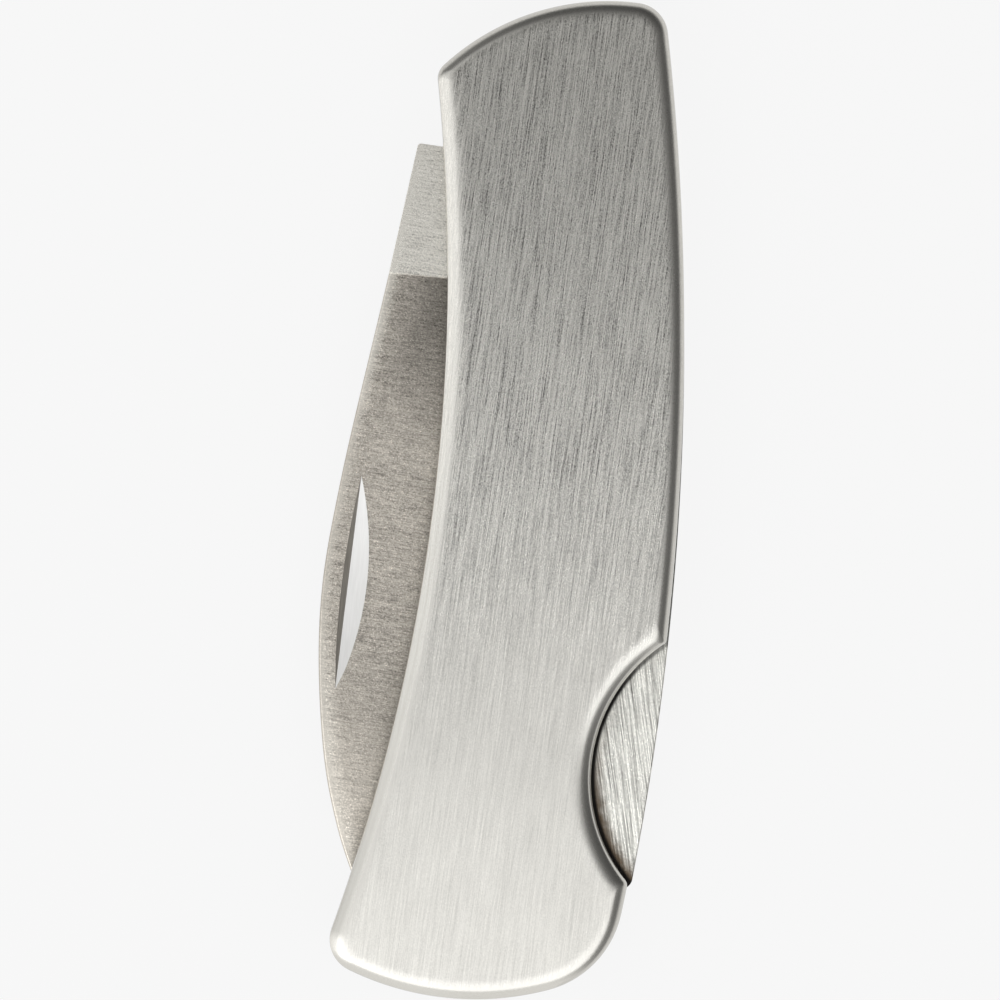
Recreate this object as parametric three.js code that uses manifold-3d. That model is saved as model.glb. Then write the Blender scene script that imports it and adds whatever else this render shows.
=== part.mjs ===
// Folding pocket knife with a back lock, shown closed. Millimetres, +Z up.
// The origin lies on the blade pivot's axis, in the lower cover's outer face. +X runs to the butt, +Y to the
// spine of the handle, and the closed blade's back stands out on the -Y side, the belly.
import * as THREE from "three";
import { mergeVertices } from "three/addons/utils/BufferGeometryUtils.js";
import Module from "manifold-3d";

const wasm = await Module();
wasm.setup();

// Stack, from the middle plane outwards
const bladeThickness = 2.2;
const washerThickness = 0.15;
const sideGap = 0.05;
const linerThickness = 0.7;
const coverThickness = 2.4;
const coverRounding = 1.2;
const linerInset = 0.15;
const spacerInset = 0.1;
const barSideGap = 0.1;

// Blade, as it lies closed
const bladeReach = 64.8;
const tipDrop = 8.6;
const crownReach = 40.4;
const crownDrop = 14.62;
const shoulderSpan = 10.3;
const frontShoulderFall = 0.73;
const rearShoulderFall = 1.04;
const swageFromTip = 6.7;
const swageDrop = 11.62;
const notchReach = 2.54;
const backDrop = 10.03;
const wallLean = 3.4;
const plungeReach = 13.1;
const plungeDrop = 11.46;
const heelRise = 1.6;
const choilReach = 10.6;
const kickReach = 7.2;
const kickWidth = 1.2;
const kickValley = 1.6;
const tangEndAngle = 62;
const edgeStraight = 30;
const edgeFall = 1.75;
const bellySweep = 11.5;
const bellyRise = 8;
const edgeLand = 0.8;
const edgeShoulder = 0.25;
const edgeHalf = 0.03;
const backChamfer = 0.15;
const groundBack = 0.95;
const groundBackAtTip = 0.45;
const openAngle = 172;

// Tang and lock
const tangRadius = 6.5;
const hookDrop = 0.7;
const hookGap = 0.1;
const hookLength = 2.4;
const dropClearance = 0.1;
const rockerReach = 29;
const rockerRise = 10.3;
const barProudFront = -0.05;
const barProudMiddle = 0.1;
const barProudRear = 0.32;
const barRearCorner = 1;
const barEndCover = 0.6;

// Handle outline: each arc by its radius and its outermost or innermost point
const frontReach = 10.13;
const frontMiddle = 5.81;
const frontRadius = 19.43;
const tipToButt = 5.79;
const buttMiddle = -1.47;
const buttRadius = 23.14;
const spineCrown = 34.79;
const spineRise = 13.35;
const spineRadius = 218.55;
const bellyCrown = 25.99;
const bellyDrop = 6.24;
const bellyRadius = 154.56;
const cutoutDepth = 5.2;
const cutoutRadius = 13.03;
const lugFlat = 2.55; // from the cut-out's rear corner to the rounding of the butt
const frontSpineFillet = 2.69;
const frontBellyFillet = 1.5;
const buttSpineFillet = 8.01;
const buttBellyFillet = 2.74;
const cutoutFrontFillet = 0.4;
const cutoutRearFillet = 0.8;

// Nail mark, in the blade's upper face
const markLength = 17.6;
const markWidth = 1.5;
const markWall = 0.5;
const markDepth = 0.3;
const markReach = 38.3;
const markFromBack = 2.05;
const markTurn = -2;

// Spring and butt spacer
const springThickness = 0.9;
const springSideGap = 0.1;
const springBelowBar = 2.6;
const springSeat = 5.2;
const springContact = 15.5;
const barEndGap = 0.45;
const tipGap = 1.5;
const slotLip = 1.5;

// Pins, washers and studs
const pivotPinRadius = 1.6;
const rockerPinRadius = 1.1;
const buttRivetRadius = 1.1;
const washerRadius = 4.2;
const studRadius = 1;
const studDepth = 1.1;
const fitGap = 0.04;
const spineRivetFromButt = 6.7;
const spineRivetDepth = 2.5;
const bellyRivetFromButt = 2.2;
const bellyRivetDrop = 3.8;
const studPlaces = [[10, 3], [31, 2], [54, -2]]; // each stud's reach and rise

// What follows from them
const gapHalf = bladeThickness / 2 + washerThickness + sideGap;
const linerFace = gapHalf + linerThickness;
const coverFace = linerFace + coverThickness;
const buttReach = bladeReach + tipToButt;
const barUnderside = tangRadius + hookDrop + dropClearance;
const notchFloor = tangRadius - hookDrop - dropClearance;
const hookUnderside = tangRadius + hookGap;
const springRise = barUnderside - springBelowBar;
const rocker = new THREE.Vector2(rockerReach, rockerRise);

const arcs = {
  belly: { x: bellyCrown, y: -bellyDrop - bellyRadius, radius: bellyRadius, hollow: true },
  butt: { x: buttReach - buttRadius, y: buttMiddle, radius: buttRadius, hollow: false },
  spine: { x: spineCrown, y: spineRise - spineRadius, radius: spineRadius, hollow: false },
  front: { x: frontRadius - frontReach, y: frontMiddle, radius: frontRadius, hollow: false },
};

// The outline runs anticlockwise. Each stretch ends in a fillet on the side of the handle that side names.
const stretches = [
  { arc: "belly", steps: 16, fillet: buttBellyFillet, side: 1 },
  { arc: "butt", steps: 8, fillet: buttSpineFillet, side: 1 },
  { arc: "spine", steps: 2, fillet: cutoutRearFillet, side: 1 },
  { arc: "cutout", steps: 14, fillet: cutoutFrontFillet, side: -1 },
  { arc: "spine", steps: 12, fillet: frontSpineFillet, side: -1 },
  { arc: "front", steps: 8, fillet: frontBellyFillet, side: -1 },
];
const filletSteps = 5;
const roundSteps = 12;
const roundingSteps = 5;
const leastFillet = 0.02;

const steel = { color: 0xc4c3bf, metalness: 1, roughness: 0.35 };
const darkSteel = { color: 0x9c9a95, metalness: 1, roughness: 0.45 };
const bronze = { color: 0xb08d57, metalness: 1, roughness: 0.4 };

function turned(point, degrees) {
  return point.clone().rotateAround(new THREE.Vector2(), THREE.MathUtils.degToRad(degrees));
}

function inset(arc, distance) {
  return { ...arc, radius: arc.radius + (arc.hollow ? distance : -distance) };
}

// Where two circles cross, on the +X side for side 1 and on the -X side for side -1
function crossing(a, b, side) {
  const between = Math.hypot(b.x - a.x, b.y - a.y);
  const along = (between ** 2 + a.radius ** 2 - b.radius ** 2) / (2 * between);
  const across = Math.sqrt(Math.max(a.radius ** 2 - along ** 2, 0));
  const unit = new THREE.Vector2(b.x - a.x, b.y - a.y).divideScalar(between);
  const found = [1, -1].map((sign) => new THREE.Vector2(
    a.x + unit.x * along - unit.y * across * sign,
    a.y + unit.y * along + unit.x * across * sign,
  ));
  return found.sort((p, q) => side * (q.x - p.x))[0];
}

function spineAt(x) {
  return arcs.spine.y + Math.sqrt(arcs.spine.radius ** 2 - (x - arcs.spine.x) ** 2);
}

function touching(arc, centre) {
  return centre.clone().sub(arc).setLength(arc.radius).add(arc);
}

// The thumb cut-out runs through a corner on the spine, just ahead of the rounding of the butt
function cutoutArc() {
  const rounding = crossing(inset(arcs.butt, buttSpineFillet), inset(arcs.spine, buttSpineFillet), 1);
  const cornerX = touching(arcs.spine, rounding).x - lugFlat;
  const y = spineRise - cutoutDepth + cutoutRadius;
  const x = cornerX - Math.sqrt(cutoutRadius ** 2 - (spineAt(cornerX) - y) ** 2);
  return { x, y, radius: cutoutRadius, hollow: true };
}
arcs.cutout = cutoutArc();

// Points along a circle from one point to another, without the last one
function along(circle, from, to, steps, clockwise) {
  const start = Math.atan2(from.y - circle.y, from.x - circle.x);
  let sweep = Math.atan2(to.y - circle.y, to.x - circle.x) - start;
  if (clockwise && sweep > 0) sweep -= 2 * Math.PI;
  if (!clockwise && sweep < 0) sweep += 2 * Math.PI;
  return Array.from({ length: steps }, (_, i) => {
    const angle = start + (sweep * i) / steps;
    return new THREE.Vector2(
      circle.x + circle.radius * Math.cos(angle),
      circle.y + circle.radius * Math.sin(angle),
    );
  });
}

// The handle's outline, drawn in by a distance all round
function handleOutline(distance) {
  const sides = stretches.map((stretch) => inset(arcs[stretch.arc], distance));
  const corners = stretches.map((stretch, i) => {
    const radius = Math.max(stretch.fillet - distance, leastFillet);
    const next = sides[(i + 1) % sides.length];
    const centre = crossing(inset(sides[i], radius), inset(next, radius), stretch.side);
    return { x: centre.x, y: centre.y, radius, from: touching(sides[i], centre), to: touching(next, centre) };
  });
  return stretches.flatMap((stretch, i) => {
    const before = corners[(i + corners.length - 1) % corners.length];
    const corner = corners[i];
    return [
      ...along(sides[i], before.to, corner.from, stretch.steps, sides[i].hollow),
      ...along(corner, corner.from, corner.to, filletSteps, false),
    ];
  });
}

function circleThrough(a, b, c) {
  const d = 2 * (a.x * (b.y - c.y) + b.x * (c.y - a.y) + c.x * (a.y - b.y));
  const x = (a.lengthSq() * (b.y - c.y) + b.lengthSq() * (c.y - a.y) + c.lengthSq() * (a.y - b.y)) / d;
  const y = (a.lengthSq() * (c.x - b.x) + b.lengthSq() * (a.x - c.x) + c.lengthSq() * (b.x - a.x)) / d;
  return { x, y, radius: Math.hypot(a.x - x, a.y - y) };
}

// Geometry helpers
function bare(geometry) {
  geometry.deleteAttribute("normal");
  geometry.deleteAttribute("uv");
  return mergeVertices(geometry, 1e-4);
}

function volumeOf(geometry) {
  const p = geometry.attributes.position;
  const corner = (i) => new THREE.Vector3().fromBufferAttribute(p, geometry.index.getX(i));
  let sum = 0;
  for (let i = 0; i < geometry.index.count; i += 3) {
    sum += corner(i).dot(corner(i + 1).cross(corner(i + 2))) / 6;
  }
  return sum;
}

function facingOut(geometry) {
  if (volumeOf(geometry) < 0) {
    const index = geometry.index.array;
    for (let i = 0; i < index.length; i += 3) [index[i + 1], index[i + 2]] = [index[i + 2], index[i + 1]];
  }
  return geometry;
}

function solid(geometry) {
  const clean = facingOut(bare(geometry));
  return new wasm.Manifold(new wasm.Mesh({
    numProp: 3,
    vertProperties: new Float32Array(clean.attributes.position.array),
    triVerts: new Uint32Array(clean.index.array),
  }));
}

function geometryOf(manifold) {
  const { vertProperties, triVerts } = manifold.getMesh();
  const geometry = new THREE.BufferGeometry();
  geometry.setAttribute("position", new THREE.BufferAttribute(new Float32Array(vertProperties), 3));
  geometry.setIndex(new THREE.BufferAttribute(new Uint32Array(triVerts), 1));
  return geometry;
}

// A skin over rings of equal length, closed by a flat cap at each end
function loft(rings, flatten) {
  const count = rings[0].length;
  const index = [];
  for (let r = 0; r + 1 < rings.length; r += 1) {
    for (let i = 0; i < count; i += 1) {
      const j = (i + 1) % count;
      const [a, b, c, d] = [r * count + i, r * count + j, (r + 1) * count + i, (r + 1) * count + j];
      index.push(a, b, d, a, d, c);
    }
  }
  const last = (rings.length - 1) * count;
  for (const [start, ring, front] of [[0, rings[0], false], [last, rings.at(-1), true]]) {
    const flat = ring.map(flatten);
    const forward = front !== THREE.ShapeUtils.isClockWise(flat);
    for (const [a, b, c] of THREE.ShapeUtils.triangulateShape(flat, [])) {
      index.push(start + a, start + (forward ? b : c), start + (forward ? c : b));
    }
  }
  const geometry = new THREE.BufferGeometry().setFromPoints(rings.flat());
  geometry.setIndex(index);
  return geometry;
}

function hole(x, y, radius) {
  return new THREE.Path().absarc(x, y, radius, 0, 2 * Math.PI);
}

function plate(shape, low, high, holes = []) {
  shape.holes.push(...holes);
  const options = { depth: high - low, bevelEnabled: false, curveSegments: roundSteps };
  return new THREE.ExtrudeGeometry(shape, options).translate(0, 0, low);
}

function rod(x, y, radius, low, high) {
  return new THREE.CylinderGeometry(radius, radius, high - low, 2 * roundSteps)
    .rotateX(Math.PI / 2).translate(x, y, (low + high) / 2);
}

const piercings = [
  [0, 0, pivotPinRadius],
  [rockerReach, rockerRise, rockerPinRadius],
];
const rivetPlaces = [
  [buttReach - spineRivetFromButt, spineAt(buttReach - spineRivetFromButt) - spineRivetDepth],
  [buttReach - bellyRivetFromButt, -bellyRivetDrop],
];
for (const [x, y] of rivetPlaces) piercings.push([x, y, buttRivetRadius]);

const barRear = crossing(arcs.spine, arcs.cutout, 1).x + barEndCover;
const spacerFront = barRear + barEndGap;
const slotEnd = spacerFront + springSeat;

// Covers: full outline at the liner, a rounded edge at the outer face, blind holes for the studs
function cover(upper) {
  const levels = [[0, linerFace]];
  for (let i = 0; i <= roundingSteps; i += 1) {
    const angle = (Math.PI / 2) * (i / roundingSteps);
    levels.push([
      coverRounding * (1 - Math.cos(angle)),
      coverFace - coverRounding * (1 - Math.sin(angle)),
    ]);
  }
  const rings = levels.map(([distance, z]) => (
    handleOutline(distance).map((p) => new THREE.Vector3(p.x, p.y, upper * z))
  ));
  let body = solid(loft(rings, (p) => new THREE.Vector2(p.x, p.y)));
  for (const [x, y] of studPlaces) {
    const depth = studDepth + fitGap;
    const [low, high] = [linerFace - 1, linerFace + depth].map((z) => upper * z).sort((a, b) => a - b);
    body = body.subtract(solid(rod(x, y, studRadius + fitGap, low, high)));
  }
  return geometryOf(body);
}

function liner(upper) {
  const [low, high] = upper > 0 ? [gapHalf, linerFace] : [-linerFace, -gapHalf];
  const studs = studPlaces.map(([x, y]) => hole(x, y, studRadius + fitGap));
  const pins = piercings.map(([x, y, radius]) => hole(x, y, radius + fitGap));
  return plate(new THREE.Shape(handleOutline(linerInset)), low, high, [...pins, ...studs]);
}

function stud(place, upper) {
  const [low, high] = [gapHalf, linerFace + studDepth].map((z) => upper * z).sort((a, b) => a - b);
  return rod(place[0], place[1], studRadius, low, high);
}

function pin(x, y, radius) {
  return rod(x, y, radius, -linerFace, linerFace);
}

function washer(upper) {
  const shape = new THREE.Shape().absarc(0, 0, washerRadius, 0, 2 * Math.PI);
  const [low, high] = upper > 0 ? [gapHalf - washerThickness, gapHalf] : [-gapHalf, washerThickness - gapHalf];
  return plate(shape, low, high, [hole(0, 0, pivotPinRadius + fitGap)]);
}

// Lock joint, in the open blade's place: the notch wall on the blade and the hook of the bar behind it
const wallOuter = new THREE.Vector2(notchReach, -backDrop);
const wallDirection = turned(new THREE.Vector2(0, 1), -wallLean);

function wallAtRadius(radius) {
  const dot = wallOuter.dot(wallDirection);
  const travel = -dot - Math.sqrt(dot ** 2 - wallOuter.lengthSq() + radius ** 2);
  return wallOuter.clone().addScaledVector(wallDirection, travel);
}

const hookFrontTop = turned(wallOuter, -openAngle).add(new THREE.Vector2(hookGap, 0));
const hookFrontLow = turned(wallAtRadius(hookUnderside), -openAngle).add(new THREE.Vector2(hookGap, 0));
const hookRear = hookFrontLow.x + hookLength;
const toothFace = hookRear + 2 * hookGap + dropClearance;

function angleOf(point) {
  return THREE.MathUtils.radToDeg(Math.atan2(point.y, point.x));
}

// Blade: tang and ricasso at full thickness, with a ground body lofted from the plunge line to the tip
const backLine = new THREE.SplineCurve([
  new THREE.Vector2(notchReach, -backDrop),
  new THREE.Vector2(plungeReach, -plungeDrop),
  new THREE.Vector2(crownReach - shoulderSpan, frontShoulderFall - crownDrop),
  new THREE.Vector2(crownReach, -crownDrop),
  new THREE.Vector2(crownReach + shoulderSpan, rearShoulderFall - crownDrop),
  new THREE.Vector2(bladeReach - swageFromTip, -swageDrop),
  new THREE.Vector2(bladeReach, -tipDrop),
]);
const edgeLine = new THREE.CubicBezierCurve(
  new THREE.Vector2(plungeReach, heelRise),
  new THREE.Vector2(plungeReach + edgeStraight, heelRise - edgeFall),
  new THREE.Vector2(bladeReach - bellySweep, bellyRise - tipDrop),
  new THREE.Vector2(bladeReach, -tipDrop),
);
const curveSteps = 120;
const backPoints = backLine.getPoints(curveSteps);
const edgePoints = edgeLine.getPoints(curveSteps);

function heightAt(points, x) {
  const i = Math.max(1, points.findIndex((p) => p.x >= x));
  const [a, b] = [points[i - 1], points[i]];
  return a.y + ((b.y - a.y) * (x - a.x)) / (b.x - a.x);
}

function halfThicknessAtBack(x) {
  const share = (x - plungeReach) / (bladeReach - plungeReach);
  return groundBack + (groundBackAtTip - groundBack) * Math.max(share, 0) ** 2;
}

function groundSection(x) {
  const back = heightAt(backPoints, x);
  const edge = heightAt(edgePoints, Math.max(x, plungeReach));
  const height = edge - back;
  const land = Math.min(edgeLand, height / 3);
  const half = halfThicknessAtBack(x);
  const chamfer = Math.min(backChamfer, height / 5);
  const shoulder = Math.min(edgeShoulder, half / 2);
  const upper = [
    [back, half - chamfer],
    [back + chamfer, half],
    [edge - land, shoulder],
    [edge, edgeHalf],
  ];
  const lower = upper.map(([y, z]) => [y, -z]).reverse();
  return [...upper, ...lower].map(([y, z]) => new THREE.Vector3(x, y, z));
}

function tangShape() {
  const seat = tangRadius - hookDrop - dropClearance / 2;
  const hookMiddle = hookFrontLow.x + hookLength / 2;
  const facing = 90 + THREE.MathUtils.radToDeg(Math.asin(-hookMiddle / hookUnderside));
  const seatHalf = THREE.MathUtils.radToDeg(Math.acos(seat / tangRadius));
  const toothAngle = THREE.MathUtils.radToDeg(Math.acos(toothFace / tangRadius)) + openAngle;
  const toothFoot = THREE.MathUtils.radToDeg(Math.acos(toothFace / notchFloor)) + openAngle;
  const kickTop = barUnderside - hookDrop - dropClearance;
  const rad = THREE.MathUtils.degToRad;
  const wallFoot = wallAtRadius(notchFloor);
  const shape = new THREE.Shape();
  shape.moveTo(wallOuter.x, wallOuter.y);
  shape.lineTo(wallFoot.x, wallFoot.y);
  shape.absarc(0, 0, notchFloor, rad(angleOf(wallFoot)), rad(toothFoot - 360), true);
  shape.absarc(0, 0, tangRadius, rad(toothAngle), rad(facing + seatHalf), true);
  shape.absarc(0, 0, tangRadius, rad(facing - seatHalf), rad(tangEndAngle), true);
  shape.quadraticCurveTo(kickReach - 2 * kickWidth, kickTop - kickValley, kickReach - kickWidth / 2, kickTop);
  shape.lineTo(kickReach + kickWidth / 2, kickTop);
  shape.quadraticCurveTo(kickReach + kickWidth, heelRise, choilReach, heelRise);
  shape.lineTo(plungeReach, heelRise);
  shape.lineTo(plungeReach, -plungeDrop);
  return shape;
}

// Nail mark: a steep wall on the back's side of its deepest line and a long slanted floor on the other
function nailMark() {
  const sections = 16;
  const above = 0.4;
  const back = heightAt(backPoints, markReach);
  const half = halfThicknessAtBack(markReach);
  const drop = (half - edgeShoulder) / (heightAt(edgePoints, markReach) - back - edgeLand);
  const rings = Array.from({ length: sections + 1 }, (_, i) => {
    const share = (2 * i) / sections - 1;
    const depth = markDepth * (1 - share ** 2);
    const x = (share * markLength) / 2;
    const rise = (depth + above) / markDepth;
    return [
      new THREE.Vector3(x, -markWall * rise, above),
      new THREE.Vector3(x, 0, -depth),
      new THREE.Vector3(x, markWidth * rise, above),
    ];
  });
  return solid(loft(rings, (p) => new THREE.Vector2(p.y, p.z))
    .rotateX(-Math.atan(drop))
    .rotateZ(THREE.MathUtils.degToRad(markTurn))
    .translate(markReach, back + markFromBack, half - drop * markFromBack));
}

function blade() {
  const stations = 26;
  const first = plungeReach - 2;
  const last = bladeReach - 0.25;
  const rings = Array.from({ length: stations + 1 }, (_, i) => {
    const share = 1 - (1 - i / stations) ** 1.4;
    return groundSection(first + (last - first) * share);
  });
  const ground = solid(loft(rings, (p) => new THREE.Vector2(p.y, p.z)));
  const tang = solid(plate(tangShape(), -bladeThickness / 2, bladeThickness / 2));
  const bore = solid(rod(0, 0, pivotPinRadius + fitGap, -bladeThickness, bladeThickness));
  return geometryOf(tang.add(ground).subtract(bore).subtract(nailMark()));
}

// Lock bar: hook over the tang, bore for the rocker pin, rear arm under the thumb cut-out
function lockBar() {
  const half = gapHalf - barSideGap;
  const back = circleThrough(
    new THREE.Vector2(hookFrontTop.x, spineAt(hookFrontTop.x) + barProudFront),
    new THREE.Vector2(rockerReach, spineAt(rockerReach) + barProudMiddle),
    new THREE.Vector2(barRear - barRearCorner, spineAt(barRear - barRearCorner) + barProudRear),
  );
  const backAt = (x) => new THREE.Vector2(x, back.y + Math.sqrt(back.radius ** 2 - (x - back.x) ** 2));
  const frontTop = backAt(hookFrontTop.x);
  const rearTop = backAt(barRear - barRearCorner);
  const hookTip = { x: 0, y: 0, radius: hookUnderside };
  const hookBack = new THREE.Vector2(hookRear, Math.sqrt(hookUnderside ** 2 - hookRear ** 2));
  const rearCorner = { x: rearTop.x, y: rearTop.y - barRearCorner, radius: barRearCorner };
  const rearLow = new THREE.Vector2(barRear, rearTop.y - barRearCorner);
  const outline = [
    ...along(hookTip, hookFrontLow, hookBack, 5, true),
    hookBack,
    new THREE.Vector2(hookRear, barUnderside),
    new THREE.Vector2(barRear, barUnderside),
    ...along(rearCorner, rearLow, rearTop, 5, false),
    ...along(back, rearTop, frontTop, 18, false),
    frontTop,
  ];
  const bore = hole(rocker.x, rocker.y, rockerPinRadius + fitGap);
  return plate(new THREE.Shape(outline), -half, half, [bore]);
}

// Butt spacer: the butt's outline behind the lock bar's end and the blade's tip, with a slot for the spring
function buttSpacer() {
  const slotHalf = springThickness / 2 + fitGap;
  const lowFront = bladeReach + tipGap;
  const region = new THREE.Shape([
    [spacerFront, 2 * spineRise],
    [spacerFront, springRise + slotHalf],
    [slotEnd, springRise + slotHalf],
    [slotEnd, springRise - slotHalf],
    [spacerFront, springRise - slotHalf],
    [spacerFront, springRise - slotHalf - slotLip],
    [lowFront, -tipDrop / 3],
    [lowFront, -2 * spineRise],
    [2 * buttReach, -2 * spineRise],
    [2 * buttReach, 2 * spineRise],
  ].map(([x, y]) => new THREE.Vector2(x, y)));
  const outline = new THREE.Shape(handleOutline(spacerInset));
  const holes = rivetPlaces.map(([x, y]) => hole(x, y, buttRivetRadius + fitGap));
  const whole = solid(plate(outline, -gapHalf, gapHalf, holes));
  return geometryOf(whole.intersect(solid(plate(region, -2 * gapHalf, 2 * gapHalf))));
}

// Lock spring: a leaf from the spacer's slot, bent up to the underside of the bar's rear arm
function lockSpring() {
  const half = gapHalf - springSideGap;
  const contact = rockerReach + springContact;
  const tipRise = barUnderside - hookGap - springThickness / 2;
  const leaf = new THREE.CurvePath();
  leaf.add(new THREE.LineCurve(
    new THREE.Vector2(slotEnd - fitGap, springRise),
    new THREE.Vector2(spacerFront, springRise),
  ));
  leaf.add(new THREE.QuadraticBezierCurve(
    new THREE.Vector2(spacerFront, springRise),
    new THREE.Vector2((spacerFront + contact) / 2, springRise),
    new THREE.Vector2(contact, tipRise),
  ));
  const middle = leaf.getPoints(10);
  const side = (sign) => middle.map((point, i) => {
    const next = middle[Math.min(i + 1, middle.length - 1)];
    const last = middle[Math.max(i - 1, 0)];
    const normal = next.clone().sub(last).normalize().rotateAround(new THREE.Vector2(), Math.PI / 2);
    return point.clone().addScaledVector(normal, (sign * springThickness) / 2);
  });
  return plate(new THREE.Shape([...side(1), ...side(-1).reverse()]), -half, half);
}

function piece(name, geometry, look) {
  const mesh = new THREE.Mesh(geometry, new THREE.MeshStandardMaterial(look));
  mesh.name = name;
  return mesh;
}

const handle = new THREE.Group();
for (const [side, upper] of [["upper", 1], ["lower", -1]]) {
  handle.add(piece(`${side}_cover`, cover(upper), steel));
  handle.add(piece(`${side}_liner`, liner(upper), darkSteel));
  handle.add(piece(`${side}_washer`, washer(upper), bronze));
  studPlaces.forEach((place, i) => handle.add(piece(`${side}_stud_${i + 1}`, stud(place, upper), darkSteel)));
}
handle.add(
  piece("butt_spacer", buttSpacer(), steel),
  piece("lock_spring", lockSpring(), darkSteel),
  piece("pivot_pin", pin(0, 0, pivotPinRadius), darkSteel),
  piece("rocker_pin", pin(rocker.x, rocker.y, rockerPinRadius), darkSteel),
  piece("spine_butt_rivet", pin(...rivetPlaces[0], buttRivetRadius), darkSteel),
  piece("belly_butt_rivet", pin(...rivetPlaces[1], buttRivetRadius), darkSteel),
);

const knife = new THREE.Group();
knife.add(handle, piece("blade", blade(), steel), piece("lock_bar", lockBar(), steel));
knife.position.z = coverFace;

export default knife;
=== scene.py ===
import logging
import math
from collections.abc import Callable, Sequence
from dataclasses import dataclass
from enum import Enum
from functools import reduce

import bmesh
import bpy
from mathutils import Matrix, Vector


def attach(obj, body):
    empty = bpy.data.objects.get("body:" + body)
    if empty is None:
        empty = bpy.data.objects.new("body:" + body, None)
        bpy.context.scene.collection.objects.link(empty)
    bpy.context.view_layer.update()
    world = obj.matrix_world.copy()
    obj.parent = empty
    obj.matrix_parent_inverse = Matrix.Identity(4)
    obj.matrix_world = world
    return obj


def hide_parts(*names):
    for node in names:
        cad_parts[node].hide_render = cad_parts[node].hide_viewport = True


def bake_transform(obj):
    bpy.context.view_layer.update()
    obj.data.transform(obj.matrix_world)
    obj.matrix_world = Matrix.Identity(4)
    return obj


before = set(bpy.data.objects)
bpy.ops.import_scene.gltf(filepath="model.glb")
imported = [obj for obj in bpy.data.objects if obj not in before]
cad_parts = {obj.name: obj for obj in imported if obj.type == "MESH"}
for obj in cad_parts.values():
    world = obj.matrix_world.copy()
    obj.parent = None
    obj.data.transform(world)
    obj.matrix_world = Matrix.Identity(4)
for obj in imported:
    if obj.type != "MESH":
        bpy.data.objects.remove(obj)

# Folding pocket knife with a back lock, shown closed. Sizes are in millimetres in the part's frame: the
# origin is on the blade pivot's axis in the lower cover's outer face, +X runs to the butt, +Y to the spine of
# the handle, and heights are measured from the knife's middle plane.

LOG = logging.getLogger("pocket_knife")
MM = 0.001
CREASE = 30.0
LEAST_SPREAD = 0.4
RIM = "rim"
FROM_BACK = "from_back"

Point = tuple[float, float]
Triple = tuple[float, float, float]
Outline = Callable[[float], list[Point]]
Mesh = bpy.types.Mesh
Vert = bmesh.types.BMVert
Tree = bpy.types.NodeTree
Socket = bpy.types.NodeSocket


class Body(Enum):
    """The CAD bodies that pieces ride on."""

    HANDLE = "handle"
    BLADE = "blade"
    LOCK_BAR = "lock_bar"


class Face(Enum):
    """The two sides of the knife, by the sign of their height over the middle plane."""

    UPPER = 1
    LOWER = -1

    @property
    def prefix(self) -> str:
        """The first word of the names of this side's pieces."""
        return self.name.lower()


@dataclass(frozen=True)
class Arc:
    """A circle that a stretch of an outline follows."""

    x: float
    y: float
    radius: float
    hollow: bool = False

    def inset(self, distance: float) -> "Arc":
        """The same arc, moved into the outline by a distance."""
        return Arc(self.x, self.y, self.radius + (distance if self.hollow else -distance), self.hollow)

    def touch(self, centre: Point) -> Point:
        """The point of the circle on the line from its centre through another circle's centre."""
        reach = math.hypot(centre[0] - self.x, centre[1] - self.y)
        share = self.radius / reach
        return self.x + (centre[0] - self.x) * share, self.y + (centre[1] - self.y) * share

    def height_at(self, x: float) -> float:
        """The height of the circle's upper half at x."""
        return self.y + math.sqrt(self.radius**2 - (x - self.x) ** 2)

    def points(self, start: Point, end: Point, steps: int, clockwise: bool) -> list[Point]:
        """Points along the circle from one point to another.

        Args:
            start: The first point.
            end: The point that the run stops short of.
            steps: How many points to give.
            clockwise: The sense in which the circle is followed.

        Returns:
            The points, without the last one.
        """
        first = math.atan2(start[1] - self.y, start[0] - self.x)
        sweep = math.atan2(end[1] - self.y, end[0] - self.x) - first
        if clockwise and sweep > 0:
            sweep -= 2 * math.pi
        if not clockwise and sweep < 0:
            sweep += 2 * math.pi
        angles = [first + sweep * i / steps for i in range(steps)]
        return [(self.x + self.radius * math.cos(a), self.y + self.radius * math.sin(a)) for a in angles]


def crossing(first: Arc, second: Arc, side: int) -> Point:
    """Where two circles cross.

    Args:
        first: One circle.
        second: The other circle.
        side: 1 for the crossing nearer to +X and -1 for the one nearer to -X.

    Returns:
        The crossing point.
    """
    between = math.hypot(second.x - first.x, second.y - first.y)
    along = (between**2 + first.radius**2 - second.radius**2) / (2 * between)
    across = math.sqrt(max(first.radius**2 - along**2, 0.0))
    ux, uy = (second.x - first.x) / between, (second.y - first.y) / between
    found = [
        (first.x + ux * along - uy * across * sign, first.y + uy * along + ux * across * sign)
        for sign in (1, -1)
    ]
    return max(found, key=lambda p: side * p[0])


def circle_through(a: Point, b: Point, c: Point) -> Arc:
    """The circle through three points."""
    d = 2 * (a[0] * (b[1] - c[1]) + b[0] * (c[1] - a[1]) + c[0] * (a[1] - b[1]))
    squares = [p[0] ** 2 + p[1] ** 2 for p in (a, b, c)]
    x = (squares[0] * (b[1] - c[1]) + squares[1] * (c[1] - a[1]) + squares[2] * (a[1] - b[1])) / d
    y = (squares[0] * (c[0] - b[0]) + squares[1] * (a[0] - c[0]) + squares[2] * (b[0] - a[0])) / d
    return Arc(x, y, math.hypot(a[0] - x, a[1] - y))


def turned(point: Point, degrees: float) -> Point:
    """A point turned about the blade's pivot."""
    c, s = math.cos(math.radians(degrees)), math.sin(math.radians(degrees))
    return c * point[0] - s * point[1], s * point[0] + c * point[1]


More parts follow.
